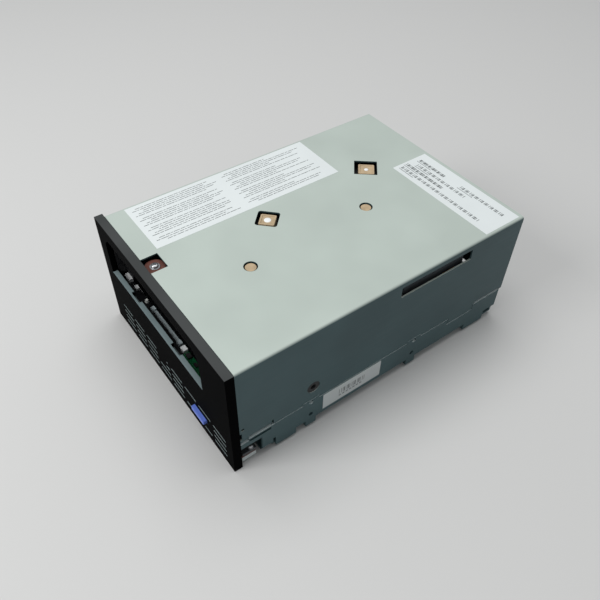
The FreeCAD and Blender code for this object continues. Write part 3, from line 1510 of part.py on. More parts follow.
def build():
    top_cover()
    base_pan()
    front_bezel()
    eject_button()
    deck_casting()
    posts("deck_posts", S.base_wall, S.deck_low, POSTS)
    posts("frame_posts", DECK_TOP, PLATE_LOW, FRAME_POSTS)
    top_plate()
    isolator_pads()
    pad_screws()
    front_mounts()
    side_grommets()
    loader_side("loader_side_left", -1)
    loader_side("loader_side_right", 1)
    slot_crossbar()
    slot_parts()
    cartridge_tray()
    loader_slider()
    worm_wheel()
    worm()
    loader_motor()
    reel_motor("supply_motor", S.slot_centre, S.supply_along, S.supply_motor_radius, SUPPLY_TOP)
    reel_motor("takeup_motor", S.takeup_across, S.takeup_along, S.takeup_motor_radius, TAKEUP_TOP)
    supply_clutch()
    takeup_reel()
    tape_path()
    head_unit()
    threader_guide()
    head_flex_cable()
    main_board()
    board_parts()
    connectors()
    cover_screws()
    labels()


def check():
    DOC.recompute()
    for item in DOC.Objects:
        if "Invalid" in item.State or "Error" in item.State:
            raise RuntimeError(f"{item.Name} failed: {item.State}")
        if item.TypeId in ("PartDesign::Pocket", "PartDesign::Pad"):
            before = item.BaseFeature.Shape.Volume if item.BaseFeature else 0.0
            grew = item.Shape.Volume - before
            if abs(grew) < 1e-3 or (grew > 0) != (item.TypeId == "PartDesign::Pad"):
                raise RuntimeError(f"{item.Name} changed the volume by {grew}")
    for item in NODES:
        if item.Shape.isNull() or not item.Shape.isValid():
            raise RuntimeError(f"{item.Label} has a bad shape")


def export():
    os.makedirs("parts", exist_ok=True)
    for item in NODES:
        item.Shape.exportStep(f"parts/{item.Label}.step")


build()
check()
export()
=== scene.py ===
"""Looks of a full-height tape drive: finishes, softened edges, screws, labels and the studio."""
import json
import math
from contextlib import contextmanager

import bmesh
import bpy
import numpy as np
from bpy.props import FloatProperty, FloatVectorProperty, IntProperty, PointerProperty
from mathutils import Matrix, Vector

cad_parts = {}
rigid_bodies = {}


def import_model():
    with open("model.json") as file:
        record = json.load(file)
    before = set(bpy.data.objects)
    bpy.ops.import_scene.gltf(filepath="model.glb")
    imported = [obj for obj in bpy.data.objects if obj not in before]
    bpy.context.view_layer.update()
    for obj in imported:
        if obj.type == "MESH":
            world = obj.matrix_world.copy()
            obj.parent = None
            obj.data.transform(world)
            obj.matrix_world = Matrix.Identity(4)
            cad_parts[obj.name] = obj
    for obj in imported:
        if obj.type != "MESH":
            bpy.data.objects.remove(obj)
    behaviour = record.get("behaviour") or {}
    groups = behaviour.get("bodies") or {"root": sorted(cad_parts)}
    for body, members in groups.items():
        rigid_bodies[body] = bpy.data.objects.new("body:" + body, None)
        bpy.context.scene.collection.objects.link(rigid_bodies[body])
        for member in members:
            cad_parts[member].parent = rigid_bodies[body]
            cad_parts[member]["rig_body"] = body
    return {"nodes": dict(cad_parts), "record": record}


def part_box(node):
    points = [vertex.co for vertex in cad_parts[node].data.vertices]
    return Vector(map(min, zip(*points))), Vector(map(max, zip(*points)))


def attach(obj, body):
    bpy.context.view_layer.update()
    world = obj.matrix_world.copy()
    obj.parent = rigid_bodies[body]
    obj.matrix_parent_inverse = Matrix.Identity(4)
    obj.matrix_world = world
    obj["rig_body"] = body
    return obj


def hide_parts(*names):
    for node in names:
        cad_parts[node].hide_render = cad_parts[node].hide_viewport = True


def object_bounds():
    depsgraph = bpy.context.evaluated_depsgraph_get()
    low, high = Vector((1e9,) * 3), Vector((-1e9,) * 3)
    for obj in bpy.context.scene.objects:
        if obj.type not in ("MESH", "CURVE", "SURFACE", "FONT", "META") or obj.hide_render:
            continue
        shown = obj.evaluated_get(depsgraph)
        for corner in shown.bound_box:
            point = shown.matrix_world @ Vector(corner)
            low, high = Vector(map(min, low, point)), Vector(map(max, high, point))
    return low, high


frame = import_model()
CAD_BOX = [list(corner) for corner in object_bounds()]

bl_info = {
    "name": "Tape drive looks",
    "version": (1, 0, 0),
    "blender": (4, 5, 0),
    "location": "View3D > Sidebar > Tape drive",
    "description": "Dresses a full-height tape drive around its packed frame",
    "category": "Object",
}

MM = 0.001
Y, Z = 1, 2

BODY_OF = {name: item["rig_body"] for name, item in frame["nodes"].items()}
SLOT_OF = {row["node"]: row["material_slot"] for row in frame["record"]["subparts"]}

SHELL = ("top_cover", "base_pan")
# Nodes whose finish here is another than their slot's
LOOK_OF = {"front_brackets": "pale_steel", "slot_bar": "pale_paint", "power_connector": "dull_plastic",
           "pad_screws": "white_plastic", "side_label": "label_shaded"}
FINISHES = {}


# Properties that a user would change

def colour(label, words, value):
    return FloatVectorProperty(name=label, description=words, default=value, size=3, subtype="COLOR",
                               min=0, max=1)


def rounding(label, words, value):
    return FloatProperty(name=label, description=words, default=value, min=0, unit="LENGTH")


def power(label, words, value):
    return FloatProperty(name=label, description=words, default=value, min=0, unit="POWER")


class TapeDriveFinishes(bpy.types.PropertyGroup):
    # Cover and base pan are one zinc-coated sheet in lit and shaded copies: the lighter cover top and base
    # edge are painted light, the darker cover sides and slate base are painted shade
    cover: colour("Cover", "Pale top of the zinc-coated cover", (0.462, 0.525, 0.482))
    cover_side_painted_shade: colour("Cover side", "Darker sides of the cover", (0.051, 0.093, 0.101))
    base: colour("Base", "Slate sheet of the base pan", (0.052, 0.096, 0.104))
    base_edge_painted_light: colour("Base edge", "Pale upper cut edges of the base pan", (0.80, 0.90, 0.90))
    bezel: colour("Bezel", "Black moulded bezel", (0.0012, 0.0013, 0.0015))
    # The bezel's faces that look up get painted light over its near black: greyer on top, lighter on the
    # slot's ledge and the vent floors
    bezel_painted_light: colour("Bezel sheen", "Greyer faces of the bezel that look up", (0.062, 0.066, 0.066))
    ledge_painted_light: colour("Ledge sheen", "Floor of the slot's ledge", (0.21, 0.27, 0.28))
    vent_painted_light: colour("Vent sheen", "Floors of the vent slits", (0.26, 0.31, 0.31))
    button: colour("Button", "Blue eject button", (0.115, 0.190, 0.640))
    label: colour("Label", "White film of the labels on top", (0.71, 0.755, 0.755))
    # The side label's film is the label white darkened as painted shade, for it stands upright out of the
    # light
    side_label: colour("Side label", "Duller film of the label on the side", (0.5396, 0.5738, 0.5738))
    bars: colour("Label bars", "Plain grey lines and bars on the labels", (0.15, 0.165, 0.165))
    pad: colour("Pads", "Tan pads under the cover", (0.46, 0.35, 0.22))
    grommet: colour("Mount rubber", "Reddish-brown rubber", (0.12, 0.035, 0.022))
    board: colour("Board", "Green solder mask", (0.004, 0.125, 0.040))


class TapeDriveDetails(bpy.types.PropertyGroup):
    bezel_edge: rounding("Bezel edge", "Rounding of the bezel's edges", 0.18 * MM)
    button_edge: rounding("Button edge", "Rounding of the eject button's edges", 0.45 * MM)
    small_edge: rounding("Small edge", "Rounding of the inner pieces' edges", 0.12 * MM)
    edge_steps: IntProperty(name="Edge steps", description="Segments across a rounded edge", default=2,
                            min=1, max=6)
    screw_steps: IntProperty(name="Screw steps", description="Steps round a screw head", default=72,
                             min=24, max=160)


class TapeDriveStudio(bpy.types.PropertyGroup):
    lens: FloatProperty(name="Lens", description="Focal length on a 36 mm sensor, in millimetres",
                        default=38.519, min=10)
    key_power: power("Top light", "Power of the large soft box overhead", 11.0)
    fill_power: power("Front light", "Power of the soft box before the slot", 6.4)
    sky: FloatProperty(name="Sky", description="Strength of the even light from all round", default=0.42,
                       min=0)
    floor: colour("Floor", "Plain pale floor", (0.62, 0.62, 0.61))


def settings():
    scene = bpy.context.scene
    return scene.tape_drive_finishes, scene.tape_drive_details, scene.tape_drive_studio


# Materials

# Stretch of the grain along the sheet, and how far a grain moves the roughness each way
BRUSHED, ROLLED = (1.0, 0.05, 1.0), (1.0, 0.04, 1.0)
ROUGH_STRAY = 0.08

# The base's upper cut edges lie over this level, which falls towards the rear; faces that look up under it,
# such as the inner floor, keep the painted shade of the walls
EDGE_LEVEL, EDGE_LEAN = 16.2 * MM, 0.05
# On the bezel, the vents lie under the first of these levels, and the slot's ledge lies under the second;
# each band of faces that look up gets its own painted light
LEDGE_LEVEL, TOP_LEVEL = 30 * MM, 60 * MM

# Grained finishes: colour, or the property that holds it; metallic; roughness; scale of the grain and its
# depth in millimetres; how far the colour strays; and if not the usual, its patches' scale and the stretch
GRAINED = {
    "blue_plastic": ("button", 0.0, 0.34, 2200, 0.008, 0.06),
    # black_steel, where it coats the upper frame round the tan pads, is near black as painted shade under the
    # cover
    "black_steel": ((0.012, 0.012, 0.014), 0.2, 0.45, 1800, 0.008, 0.2),
    # deck_metal is darkened from the cast deck's silver as painted shade, for the inside of the drive lies in
    # shadow
    "deck_metal": ((0.09, 0.095, 0.10), 0.6, 0.48, 900, 0.05, 0.08),
    "bright_steel": ((0.46, 0.47, 0.48), 1.0, 0.30, 1400, 0.006, 0.08, 60, BRUSHED),
    "pale_steel": ((0.60, 0.66, 0.66), 0.35, 0.42, 1400, 0.006, 0.06),
    "pale_paint": ((0.55, 0.64, 0.66), 0.0, 0.45, 1400, 0.006, 0.06),
    "tan_foam": ("pad", 0.0, 0.92, 2400, 0.10, 0.10, 300),
    "brown_rubber": ("grommet", 0.0, 0.70, 1500, 0.02, 0.12),
    "dark_rubber": ((0.018, 0.018, 0.019), 0.0, 0.72, 1500, 0.02, 0.2),
    "white_plastic": ((0.86, 0.88, 0.88), 0.0, 0.42, 1800, 0.008, 0.05),
    "dull_plastic": ((0.20, 0.20, 0.185), 0.0, 0.50, 1800, 0.008, 0.05),
    "chip_black": ((0.014, 0.014, 0.015), 0.0, 0.55, 2600, 0.01, 0.2),
    "capacitor_can": ((0.50, 0.50, 0.52), 1.0, 0.35, 1200, 0.005, 0.06),
    "grey_plastic": ((0.10, 0.11, 0.12), 0.0, 0.50, 1800, 0.01, 0.1),
    "reel_plastic": ((0.045, 0.048, 0.052), 0.0, 0.40, 1800, 0.01, 0.1),
    "gear_plastic": ((0.62, 0.58, 0.45), 0.0, 0.45, 1600, 0.01, 0.06),
    "brass_worm": ((0.62, 0.42, 0.13), 1.0, 0.28, 1500, 0.005, 0.08),
    "roller_metal": ((0.58, 0.58, 0.60), 1.0, 0.22, 1500, 0.003, 0.05),
    "head_metal": ((0.30, 0.31, 0.32), 1.0, 0.18, 1500, 0.003, 0.05),
    "label_white": ("label", 0.0, 0.48, 700, 0.003, 0.015, 40),
    "label_shaded": ("side_label", 0.0, 0.48, 700, 0.003, 0.015, 40),
    "label_bars": ("bars", 0.0, 0.55, 900, 0.003, 0.10),
    "led_lens": ((0.80, 0.82, 0.78), 0.0, 0.20, 900, 0.002, 0.03),
    "copper_flex": ((0.90, 0.42, 0.04), 0.0, 0.40, 1100, 0.01, 0.12),
}


def nodes_of(name):
    finish = bpy.data.materials.new(name)
    finish.use_nodes = True
    tree = finish.node_tree
    return finish, tree, tree.nodes["Principled BSDF"]


def add(tree, kind, **values):
    """A new node: each value goes to the setting of its name, or else to the input of its name."""
    item = tree.nodes.new(kind)
    for key, value in values.items():
        if hasattr(item, key):
            setattr(item, key, value)
        else:
            item.inputs[key.replace("_", " ").title()].default_value = value
    return item


def noise(tree, scale, detail, stretch=(1, 1, 1)):
    """Noise on Object coordinates, stretched by a Mapping node."""
    place = add(tree, "ShaderNodeTexCoord")
    mapping = add(tree, "ShaderNodeMapping")
    mapping.inputs["Scale"].default_value = stretch
    grain = add(tree, "ShaderNodeTexNoise", scale=scale, detail=detail)
    tree.links.new(place.outputs["Object"], mapping.inputs["Vector"])
    tree.links.new(mapping.outputs["Vector"], grain.inputs["Vector"])
    return grain.outputs["Fac"]


def blend_colours(tree, factor, first, second):
    """From the first colour to the second over the middle of a noise's range."""
    ramp = add(tree, "ShaderNodeValToRGB")
    for stop, position, tone in zip(ramp.color_ramp.elements, (0.35, 0.65), (first, second)):
        stop.position = position
        stop.color = (*tone, 1)
    tree.links.new(factor, ramp.inputs["Fac"])
    return ramp.outputs["Color"]


def spread(tree, factor, low, high):
    """Carries nought to low and one to high."""
    area = add(tree, "ShaderNodeMapRange", to_min=low, to_max=high)
    tree.links.new(factor, area.inputs["Value"])
    return area.outputs["Result"]


def rise(tree, value, low, high):
    """Nought where the value is low, one where it is high."""
    area = add(tree, "ShaderNodeMapRange", from_min=low, from_max=high)
    tree.links.new(value, area.inputs["Value"])
    return area.outputs["Result"]


def bump(tree, shader, height, depth):
    lift = add(tree, "ShaderNodeBump", strength=1.0, distance=depth)
    tree.links.new(height, lift.inputs["Height"])
    tree.links.new(lift.outputs["Normal"], shader.inputs["Normal"])


def shade(tone, factor):
    return tuple(min(1.0, channel * factor) for channel in tone)


def facing_up(tree):
    """One where the surface's own normal points up, nought where it stands upright."""
    place = add(tree, "ShaderNodeNewGeometry")
    split = add(tree, "ShaderNodeSeparateXYZ")
    tree.links.new(place.outputs["Normal"], split.inputs["Vector"])
    return rise(tree, split.outputs["Z"], 0.25, 0.85)


def above(tree, level, lean=0.0):
    """Nought under one level of the object and one over it; lean lowers the level towards the rear."""
    place = add(tree, "ShaderNodeTexCoord")
    height = add(tree, "ShaderNodeVectorMath", operation="DOT_PRODUCT")
    height.inputs[1].default_value = (0, lean, 1)
    tree.links.new(place.outputs["Object"], height.inputs[0])
    return rise(tree, height.outputs["Value"], level, level + 0.1 * MM)


def product(tree, first, second):
    times = add(tree, "ShaderNodeMath", operation="MULTIPLY")
    tree.links.new(first, times.inputs[0])
    tree.links.new(second, times.inputs[1])
    return times.outputs["Value"]


def mix_colours(tree, factor, first, second):
    mixer = add(tree, "ShaderNodeMix", data_type="RGBA")
    factor_input, first_input, second_input = (mixer.inputs[index] for index in (0, 6, 7))
    tree.links.new(factor, factor_input)
    tree.links.new(first, first_input)
    tree.links.new(second, second_input)
    return mixer.outputs[2]


def grained(name, base, metallic, rough, scale, depth, stray, patch=60, stretch=(1, 1, 1)):
    """A finish whose colour strays in soft patches and whose grain gives roughness and bump."""
    finish, tree, shader = nodes_of(name)
    shader.inputs["Metallic"].default_value = metallic
    patches = noise(tree, patch, 2.0)
    grain = noise(tree, scale, 4.0, stretch)
    tone = blend_colours(tree, patches, shade(base, 1 - stray), shade(base, 1 + stray))
    tree.links.new(tone, shader.inputs["Base Color"])
    roughness = spread(tree, grain, rough - ROUGH_STRAY, rough + ROUGH_STRAY)
    tree.links.new(roughness, shader.inputs["Roughness"])
    bump(tree, shader, grain, depth * MM)
    return finish


def coated_sheet(name, top, side):
    """Zinc-coated sheet: the darker tone, painted shade, on its walls and inner floor; the lighter tone,
    painted light, on top and on its upper cut edges.
    """
    finish, tree, shader = nodes_of(name)
    shader.inputs["Metallic"].default_value = 0.10
    shader.inputs["Specular IOR Level"].default_value = 0.30
    patches = noise(tree, 22.0, 2.0)
    rolling = noise(tree, 900.0, 4.0, ROLLED)
    # Painted light and shade: faces that look up over the edge level get the lighter tone, all other faces
    # the darker
    painted_light_colour = blend_colours(tree, patches, shade(top, 0.96), shade(top, 1.04))
    painted_shade_colour = blend_colours(tree, patches, shade(side, 0.92), shade(side, 1.10))
    painted_light_mask = product(tree, facing_up(tree), above(tree, EDGE_LEVEL, EDGE_LEAN))
    tree.links.new(mix_colours(tree, painted_light_mask, painted_shade_colour, painted_light_colour), shader.inputs["Base Color"])
    tree.links.new(spread(tree, rolling, 0.46, 0.58), shader.inputs["Roughness"])
    bump(tree, shader, rolling, 0.004 * MM)
    return finish


def moulded_black(name, base, painted_light, ledge, vent):
    """Fine-grained moulding: near black where upright, with painted light on faces that look up, greyer on
    top and lighter on the ledge and in the vents.
    """
    finish, tree, shader = nodes_of(name)
    shader.inputs["Specular IOR Level"].default_value = 0.006
    grain = noise(tree, 2600.0, 4.0)
    patches = noise(tree, 25.0, 2.0)
    upright = blend_colours(tree, patches, shade(base, 0.8), shade(base, 1.2))
    # Painted light for faces that look up: one tone each for the top, the ledge and the vents
    top, middle, low = (blend_colours(tree, patches, shade(tone, 0.9), shade(tone, 1.1))
                        for tone in (painted_light, ledge, vent))
    painted_vent_and_ledge_colour = mix_colours(tree, above(tree, LEDGE_LEVEL), low, middle)
    level = mix_colours(tree, above(tree, TOP_LEVEL), painted_vent_and_ledge_colour, top)
    tree.links.new(mix_colours(tree, facing_up(tree), upright, level), shader.inputs["Base Color"])
    tree.links.new(spread(tree, grain, 0.50, 0.66), shader.inputs["Roughness"])
    bump(tree, shader, grain, 0.015 * MM)
    return finish


def circuit_board(name, base):
    """Solder mask over copper: a net of fine, slightly raised tracks."""
    finish, tree, shader = nodes_of(name)
    shader.inputs["Roughness"].default_value = 0.32
    place = add(tree, "ShaderNodeTexCoord")
    tracks = add(tree, "ShaderNodeTexBrick", scale=260.0, mortar_size=0.06, color1=(*base, 1),
                 color2=(*shade(base, 0.85), 1), mortar=(*shade(base, 1.7), 1))
    tree.links.new(place.outputs["Object"], tracks.inputs["Vector"])
    tree.links.new(tracks.outputs["Color"], shader.inputs["Base Color"])
    bump(tree, shader, tracks.outputs["Fac"], 0.02 * MM)
    return finish


def make_finishes():
    look = settings()[0]
    finishes = {
        "cover_sheet": coated_sheet("cover_sheet", look.cover, look.cover_side_painted_shade),
        "base_sheet": coated_sheet("base_sheet", look.base_edge_painted_light, look.base),
        "black_plastic": moulded_black("black_plastic", look.bezel, look.bezel_painted_light, look.ledge_painted_light,
                                       look.vent_painted_light),
        "board_green": circuit_board("board_green", look.board),
    }
    for name, (tone, *rest) in GRAINED.items():
        finishes[name] = grained(name, getattr(look, tone) if isinstance(tone, str) else tone, *rest)
    return finishes


# Pieces

# Points closer than this are merged, in the copy of a CAD node and in a new piece
CAD_GAP, SEAM_GAP = 0.002 * MM, 0.001 * MM
# Sharper edges than this are rounded on a CAD node's copy, and are creases on a new piece
BEVEL_ANGLE, CREASE_ANGLE = math.radians(35), math.radians(40)


@contextmanager
def opened(mesh):
    """The mesh as a bmesh, which is written back at the end."""
    work = bmesh.new()
    work.from_mesh(mesh)
    yield work
    work.to_mesh(mesh)
    work.free()


def finish_of(node):
    return LOOK_OF.get(node, SLOT_OF[node])


def keep(item, node):
    """Gives a piece that stands for a CAD node its finish, body and slot."""
    finish = finish_of(node)
    item.data.materials.clear()
    item.data.materials.append(FINISHES[finish])
    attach(item, BODY_OF[node])
    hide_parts(node)


def linked(name, mesh):
    item = bpy.data.objects.new(name, mesh)
    bpy.context.scene.collection.objects.link(item)
    return item


def new_piece(name, *surfaces):
    """One object of one or more surfaces, each a pair of points and faces, laid end to end."""
    points = np.concatenate([surface[0] for surface in surfaces])
    faces, start = [], 0
    for corners, rows in surfaces:
        faces += [[start + corner for corner in row] for row in rows]
        start += len(corners)
    mesh = bpy.data.meshes.new(name)
    mesh.from_pydata(points.tolist(), [], faces)
    mesh.validate()
    return linked(name, mesh)


def smooth_piece(name, *surfaces):
    """A new piece with merged seams, its faces turned outward and shaded smooth up to its creases."""
    item = new_piece(name, *surfaces)
    with opened(item.data) as work:
        bmesh.ops.remove_doubles(work, verts=work.verts, dist=SEAM_GAP)
        bmesh.ops.recalc_face_normals(work, faces=work.faces)
        for face in work.faces:
            face.smooth = True
    item.data.set_sharp_from_angle(angle=CREASE_ANGLE)
    return item


def soften(node, width):
    """Stands a merged copy of a CAD node in its place, its sharp edges rounded by a Bevel modifier."""
    name = node + "_dressed"
    mesh = frame["nodes"][node].data.copy()
    mesh.name = name
    with opened(mesh) as work:
        bmesh.ops.remove_doubles(work, verts=work.verts, dist=CAD_GAP)
        for face in work.faces:
            face.smooth = True
    item = linked(name, mesh)
    edge = item.modifiers.new("edge", "BEVEL")
    edge.width = width
    edge.segments = settings()[1].edge_steps
    edge.limit_method = "ANGLE"
    edge.angle_limit = BEVEL_ANGLE
    edge.use_clamp_overlap = False
    even = item.modifiers.new("even", "WEIGHTED_NORMAL")
    even.weight = 100
    keep(item, node)


def islands(node):
    """Points of each loose solid of a CAD node, from left to right."""
    work = bmesh.new()
    work.from_mesh(frame["nodes"][node].data)
    bmesh.ops.remove_doubles(work, verts=work.verts, dist=CAD_GAP)
    left = set(work.verts)
    groups = []
    while left:
        front = [left.pop()]
        found = list(front)
        while front:
            near = {edge.other_vert(vert) for vert in front for edge in vert.link_edges} & left
            left -= near
            found += near
            front = list(near)
        groups.append(np.array([vert.co for vert in found]))
    work.free()
    return sorted(groups, key=lambda points: tuple(points.min(0)))


def ring_faces(rows, columns):
    """Quads between neighbouring rows of points, each row closed on itself."""
    row, column = np.meshgrid(np.arange(rows - 1), np.arange(columns), indexing="ij")
    after = (column + 1) % columns
    corners = (row * columns + column, row * columns + after, (row + 1) * columns + after,
               (row + 1) * columns + column)
    return np.stack(corners, axis=-1).reshape(-1, 4).tolist()


def stood_along(axis, points):
    """Turns points from local Z to an axis of the frame."""
    turn = Vector((0, 0, 1)).rotation_difference(Matrix.Identity(3)[axis]).to_matrix()
    return points @ np.array(turn).T


def turned(profile, centre, axis):
    """A profile of radius r and level z, carried round an axis: (r cos a, r sin a, z) at each angle a."""
    around = settings()[1].screw_steps // 2
    angle = np.linspace(0, 2 * math.pi, around, endpoint=False)
    radius, level = np.array(profile, float).T
    grid = np.stack([radius[:, None] * np.cos(angle), radius[:, None] * np.sin(angle),
                     np.repeat(level[:, None], around, axis=1)], axis=-1).reshape(-1, 3)
    base = np.array(centre, float)
    base[axis] = 0
    return stood_along(axis, grid) + base, ring_faces(len(profile), around)


# Screws

# Shares of a head's height that its dome and its recess take, and of its radius for the recess's bars
DOME, RECESS = 0.45, 0.6
BAR_HALF_WIDTH, BAR_HALF_LENGTH, BAR_EDGE = 0.13, 0.52, 0.05
HEAD_RINGS = np.concatenate([np.linspace(0.02, 0.6, 14), np.linspace(0.63, 1.0, 10)])
# Points this close lie at one level, and radii this far apart are a step
LEVEL_GAP, RADIUS_STEP = 0.01 * MM, 0.05 * MM
WASHER_EDGE = 0.1 * MM


def pan_head(seat, axis, radius, height):
    """A pan head with a cross recess, on a grid of radius r and angle a.

    z = h ((1 - DOME) + DOME (1 - (r / R) ** 4)), less RECESS h inside the cross. The cross is the greater of
    two bars at right angles, and each bar falls from one to nought across its narrow edge.
    """
    around = settings()[1].screw_steps
    angle = np.linspace(0, 2 * math.pi, around, endpoint=False)
    r, a = np.meshgrid(HEAD_RINGS * radius, angle, indexing="ij")
    x, y = r * np.cos(a), r * np.sin(a)
    width, length, edge = BAR_HALF_WIDTH * radius, BAR_HALF_LENGTH * radius, BAR_EDGE * radius

    def bar(across, along):
        return (np.clip((width - np.abs(across)) / edge + 0.5, 0, 1)
                * np.clip((length - np.abs(along)) / edge + 0.5, 0, 1))

    cross = np.maximum(bar(x, y), bar(y, x))
    z = height * (1 - (r / radius) ** 4) * DOME + height * (1 - DOME) - cross * height * RECESS
    top = np.stack([x, y, z], axis=-1).reshape(-1, 3)
    rim = np.stack([radius * np.cos(angle), radius * np.sin(angle), np.zeros(around)], axis=-1)
    points = np.concatenate([top, rim, [[0, 0, z[0].mean()]], [[0, 0, 0]]])
    crown, under = len(points) - 2, len(points) - 1
    last = len(top)
    faces = ring_faces(len(HEAD_RINGS) + 1, around)
    for step in range(around):
        after = (step + 1) % around
        faces += [[crown, step, after], [under, last + after, last + step]]
    return stood_along(axis, points) + np.array(seat), faces


def washer_profile(inner, outer, low, high):
    """A closed ring section with its two outer corners cut off."""
    soft = min(WASHER_EDGE, (high - low) / 3)
    return [(inner, low), (outer - soft, low), (outer, low + soft),
            (outer, high - soft), (outer - soft, high), (inner, high), (inner, low)]


def middle_and_reach(points, axis):
    """Middle of a solid's box, and each point's distance from the line through it along the axis."""
    centre = (points.min(0) + points.max(0)) / 2
    across = [index for index in range(3) if index != axis]
    return centre, np.hypot(*(points[:, index] - centre[index] for index in across))


def screw(points, axis):
    """Head, washer and shank of the sizes read from the solid's own points."""
    centre, reach = middle_and_reach(points, axis)
    level = points[:, axis]
    low, top = level.min(), level.max()
    head = reach[level > top - LEVEL_GAP].max()
    shank = reach[level < low + LEVEL_GAP].max()
    washer = level[reach > head + RADIUS_STEP]
    under = washer.max() if len(washer) else level[reach > shank + RADIUS_STEP].min()
    seat = washer.min() if len(washer) else under
    place = centre.copy()
    place[axis] = under
    surfaces = [pan_head(place, axis, head, top - under)]
    if len(washer):
        surfaces.append(turned(washer_profile(shank, reach.max(), seat, under), centre, axis))
    surfaces.append(turned([(0, low), (shank, low), (shank, seat), (0, seat)], centre, axis))
    return surfaces


def stud(points):
    """Low dome on a plain shank: from rim to middle, radius R sin a and level z + h cos a, a falling to 0."""
    centre, reach = middle_and_reach(points, Z)
    level = points[:, Z]
    low, top = level.min(), level.max()
    shank = reach[level < low + LEVEL_GAP].max()
    under = level[reach > reach.max() - LEVEL_GAP].min()
    dome = [(reach.max() * math.sin(a), under + (top - under) * math.cos(a))
            for a in np.linspace(math.pi / 2, 0, 9)]
    return turned([(0, low), (shank, low), (shank, under), *dome], centre, Z)


# Labels

INK = 0.02 * MM
# Lengths of words in millimetres, and widths of bars and gaps in units, both taken in turn
WORDS = (3.1, 1.9, 4.4, 2.3, 5.2, 1.4, 3.7, 2.8, 1.1, 4.0)
BAR_WIDTHS = (1, 2, 1, 1, 3, 1, 2, 1, 1, 2, 3, 1)
BAR_UNIT = 0.42
# More words and more bars than a line can hold
MOST_WORDS, MOST_BARS = 40, 400


class Face:
    """The outer face of a label: its corner, and the axes of its length, height and depth, longest first."""

    def __init__(self, node):
        self.low, high = (np.array(corner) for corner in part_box(node))
        size = high - self.low
        self.axes = np.argsort(size)[::-1]
        self.length, self.height, self.depth = size[self.axes]


def text_lines(face):
    """Two columns of lines of words, their lengths taken in turn, with every sixth line left out.

    Each column's lines take their start and end, as shares of the length, from three pairs in turn.
    """
    margin, pitch, thick, space = 3.0 * MM, 1.75 * MM, 0.46 * MM, 0.6 * MM
    columns = (((0.02, 0.44), (0.00, 0.40), (0.05, 0.47)),
               ((0.52, 0.80), (0.50, 0.98), (0.55, 0.94)))
    rows = []
    for line in range(int((face.height - 2 * margin) / pitch) + 1):
        if line % 6 == 5:
            continue
        level = margin + line * pitch
        lengths = np.resize(np.roll(WORDS, line * 3), MOST_WORDS) * MM
        for column in columns:
            start, end = np.array(column[line % 3]) * (face.length - 2 * margin) + margin
            right = start + np.cumsum(lengths + space)
            rows += [(far - size - space, far - space, level, level + thick)
                     for far, size in zip(right, lengths) if far < end]
    return rows


def upright_bars(start, end, level, tall, turn):
    """Bars of one to three units whose edges are the running sum of widths and gaps, as far as the end."""
    widths = np.resize(np.roll(BAR_WIDTHS, turn * 5), MOST_BARS) * BAR_UNIT * MM
    edges = start + np.cumsum(widths)
    return [(near, far, level, level + tall) for near, far in zip(edges[::2], edges[1::2]) if far < end]


def bar_strips(face):
    """Strips of upright bars with a short line under each: shares of the length, and level."""
    strips = ((0.03, 0.86, 4.2), (0.02, 0.42, 9.2), (0.08, 0.60, 14.2),
              (0.04, 0.33, 19.4), (0.48, 0.93, 19.9))
    tall, line_length, line_low, line_high = 2.5 * MM, 13 * MM, -1.2, -0.8
    rows = []
    for index, (start, end, level) in enumerate(strips):
        near = start * face.length
        rows += upright_bars(near, end * face.length, level * MM, tall, index)
        rows += [(near, near + line_length, (level + line_low) * MM, (level + line_high) * MM)]
    return rows


def side_strip(face):
    """One strip of upright bars with a row of dashes under it."""
    bars = upright_bars(0.26 * face.length, 0.72 * face.length, 5.4 * MM, 4.2 * MM, 2)
    dashes = face.length * 0.27 + np.arange(0.0, 18.0, 2.6) * MM
    return bars + [(dash, dash + 1.7 * MM, 3.4 * MM, 4.4 * MM) for dash in dashes]


def boxes(name, face, rows, low, thickness):
    """Thin blocks on a label: a unit cube's corners, scaled and moved to each row's span along and up it."""
    corners = np.array([[u, v, w] for w in (0, 1) for u, v in ((0, 0), (1, 0), (1, 1), (0, 1))], float)
    quads = np.array([(3, 2, 1, 0), (4, 5, 6, 7), (0, 1, 5, 4), (1, 2, 6, 5), (2, 3, 7, 6), (3, 0, 4, 7)])
    left, right, bottom, top = np.array(rows, float).T
    near = np.stack([left, bottom, np.full(len(left), low)], axis=-1)
    size = np.stack([right - left, top - bottom, np.full(len(left), thickness)], axis=-1)
    local = (near[:, None] + size[:, None] * corners).reshape(-1, 3)
    points = np.empty_like(local)
    points[:, face.axes] = local
    faces = (quads + 8 * np.arange(len(left))[:, None, None]).reshape(-1, 4)
    item = new_piece(name, (points + face.low, faces.tolist()))
    with opened(item.data) as work:
        bmesh.ops.recalc_face_normals(work, faces=work.faces)
    return item


# Operators

class SoftenOperator:
    """Shared by the operators that round the edges of one CAD node"""

    def execute(self, context):
        soften(self.node, getattr(settings()[1], self.edge))
        return {"FINISHED"}


class DRIVE_OT_shell(bpy.types.Operator):
    """Gives the cover and the base, kept as they were packed, their coated sheet"""
    bl_idname = "drive.shell"
    bl_label = "Cover and base"

    def execute(self, context):
        for node in SHELL:
            for place in frame["nodes"][node].material_slots:
                place.material = FINISHES[finish_of(node)]
        return {"FINISHED"}


class DRIVE_OT_bezel(SoftenOperator, bpy.types.Operator):
    """Rounds the moulded edges of the bezel"""
    bl_idname = "drive.bezel"
    bl_label = "Bezel"
    node = "front_bezel"
    edge = "bezel_edge"


class DRIVE_OT_button(SoftenOperator, bpy.types.Operator):
    """Rounds the blue eject button"""
    bl_idname = "drive.button"
    bl_label = "Eject button"
    node = "eject_button"
    edge = "button_edge"


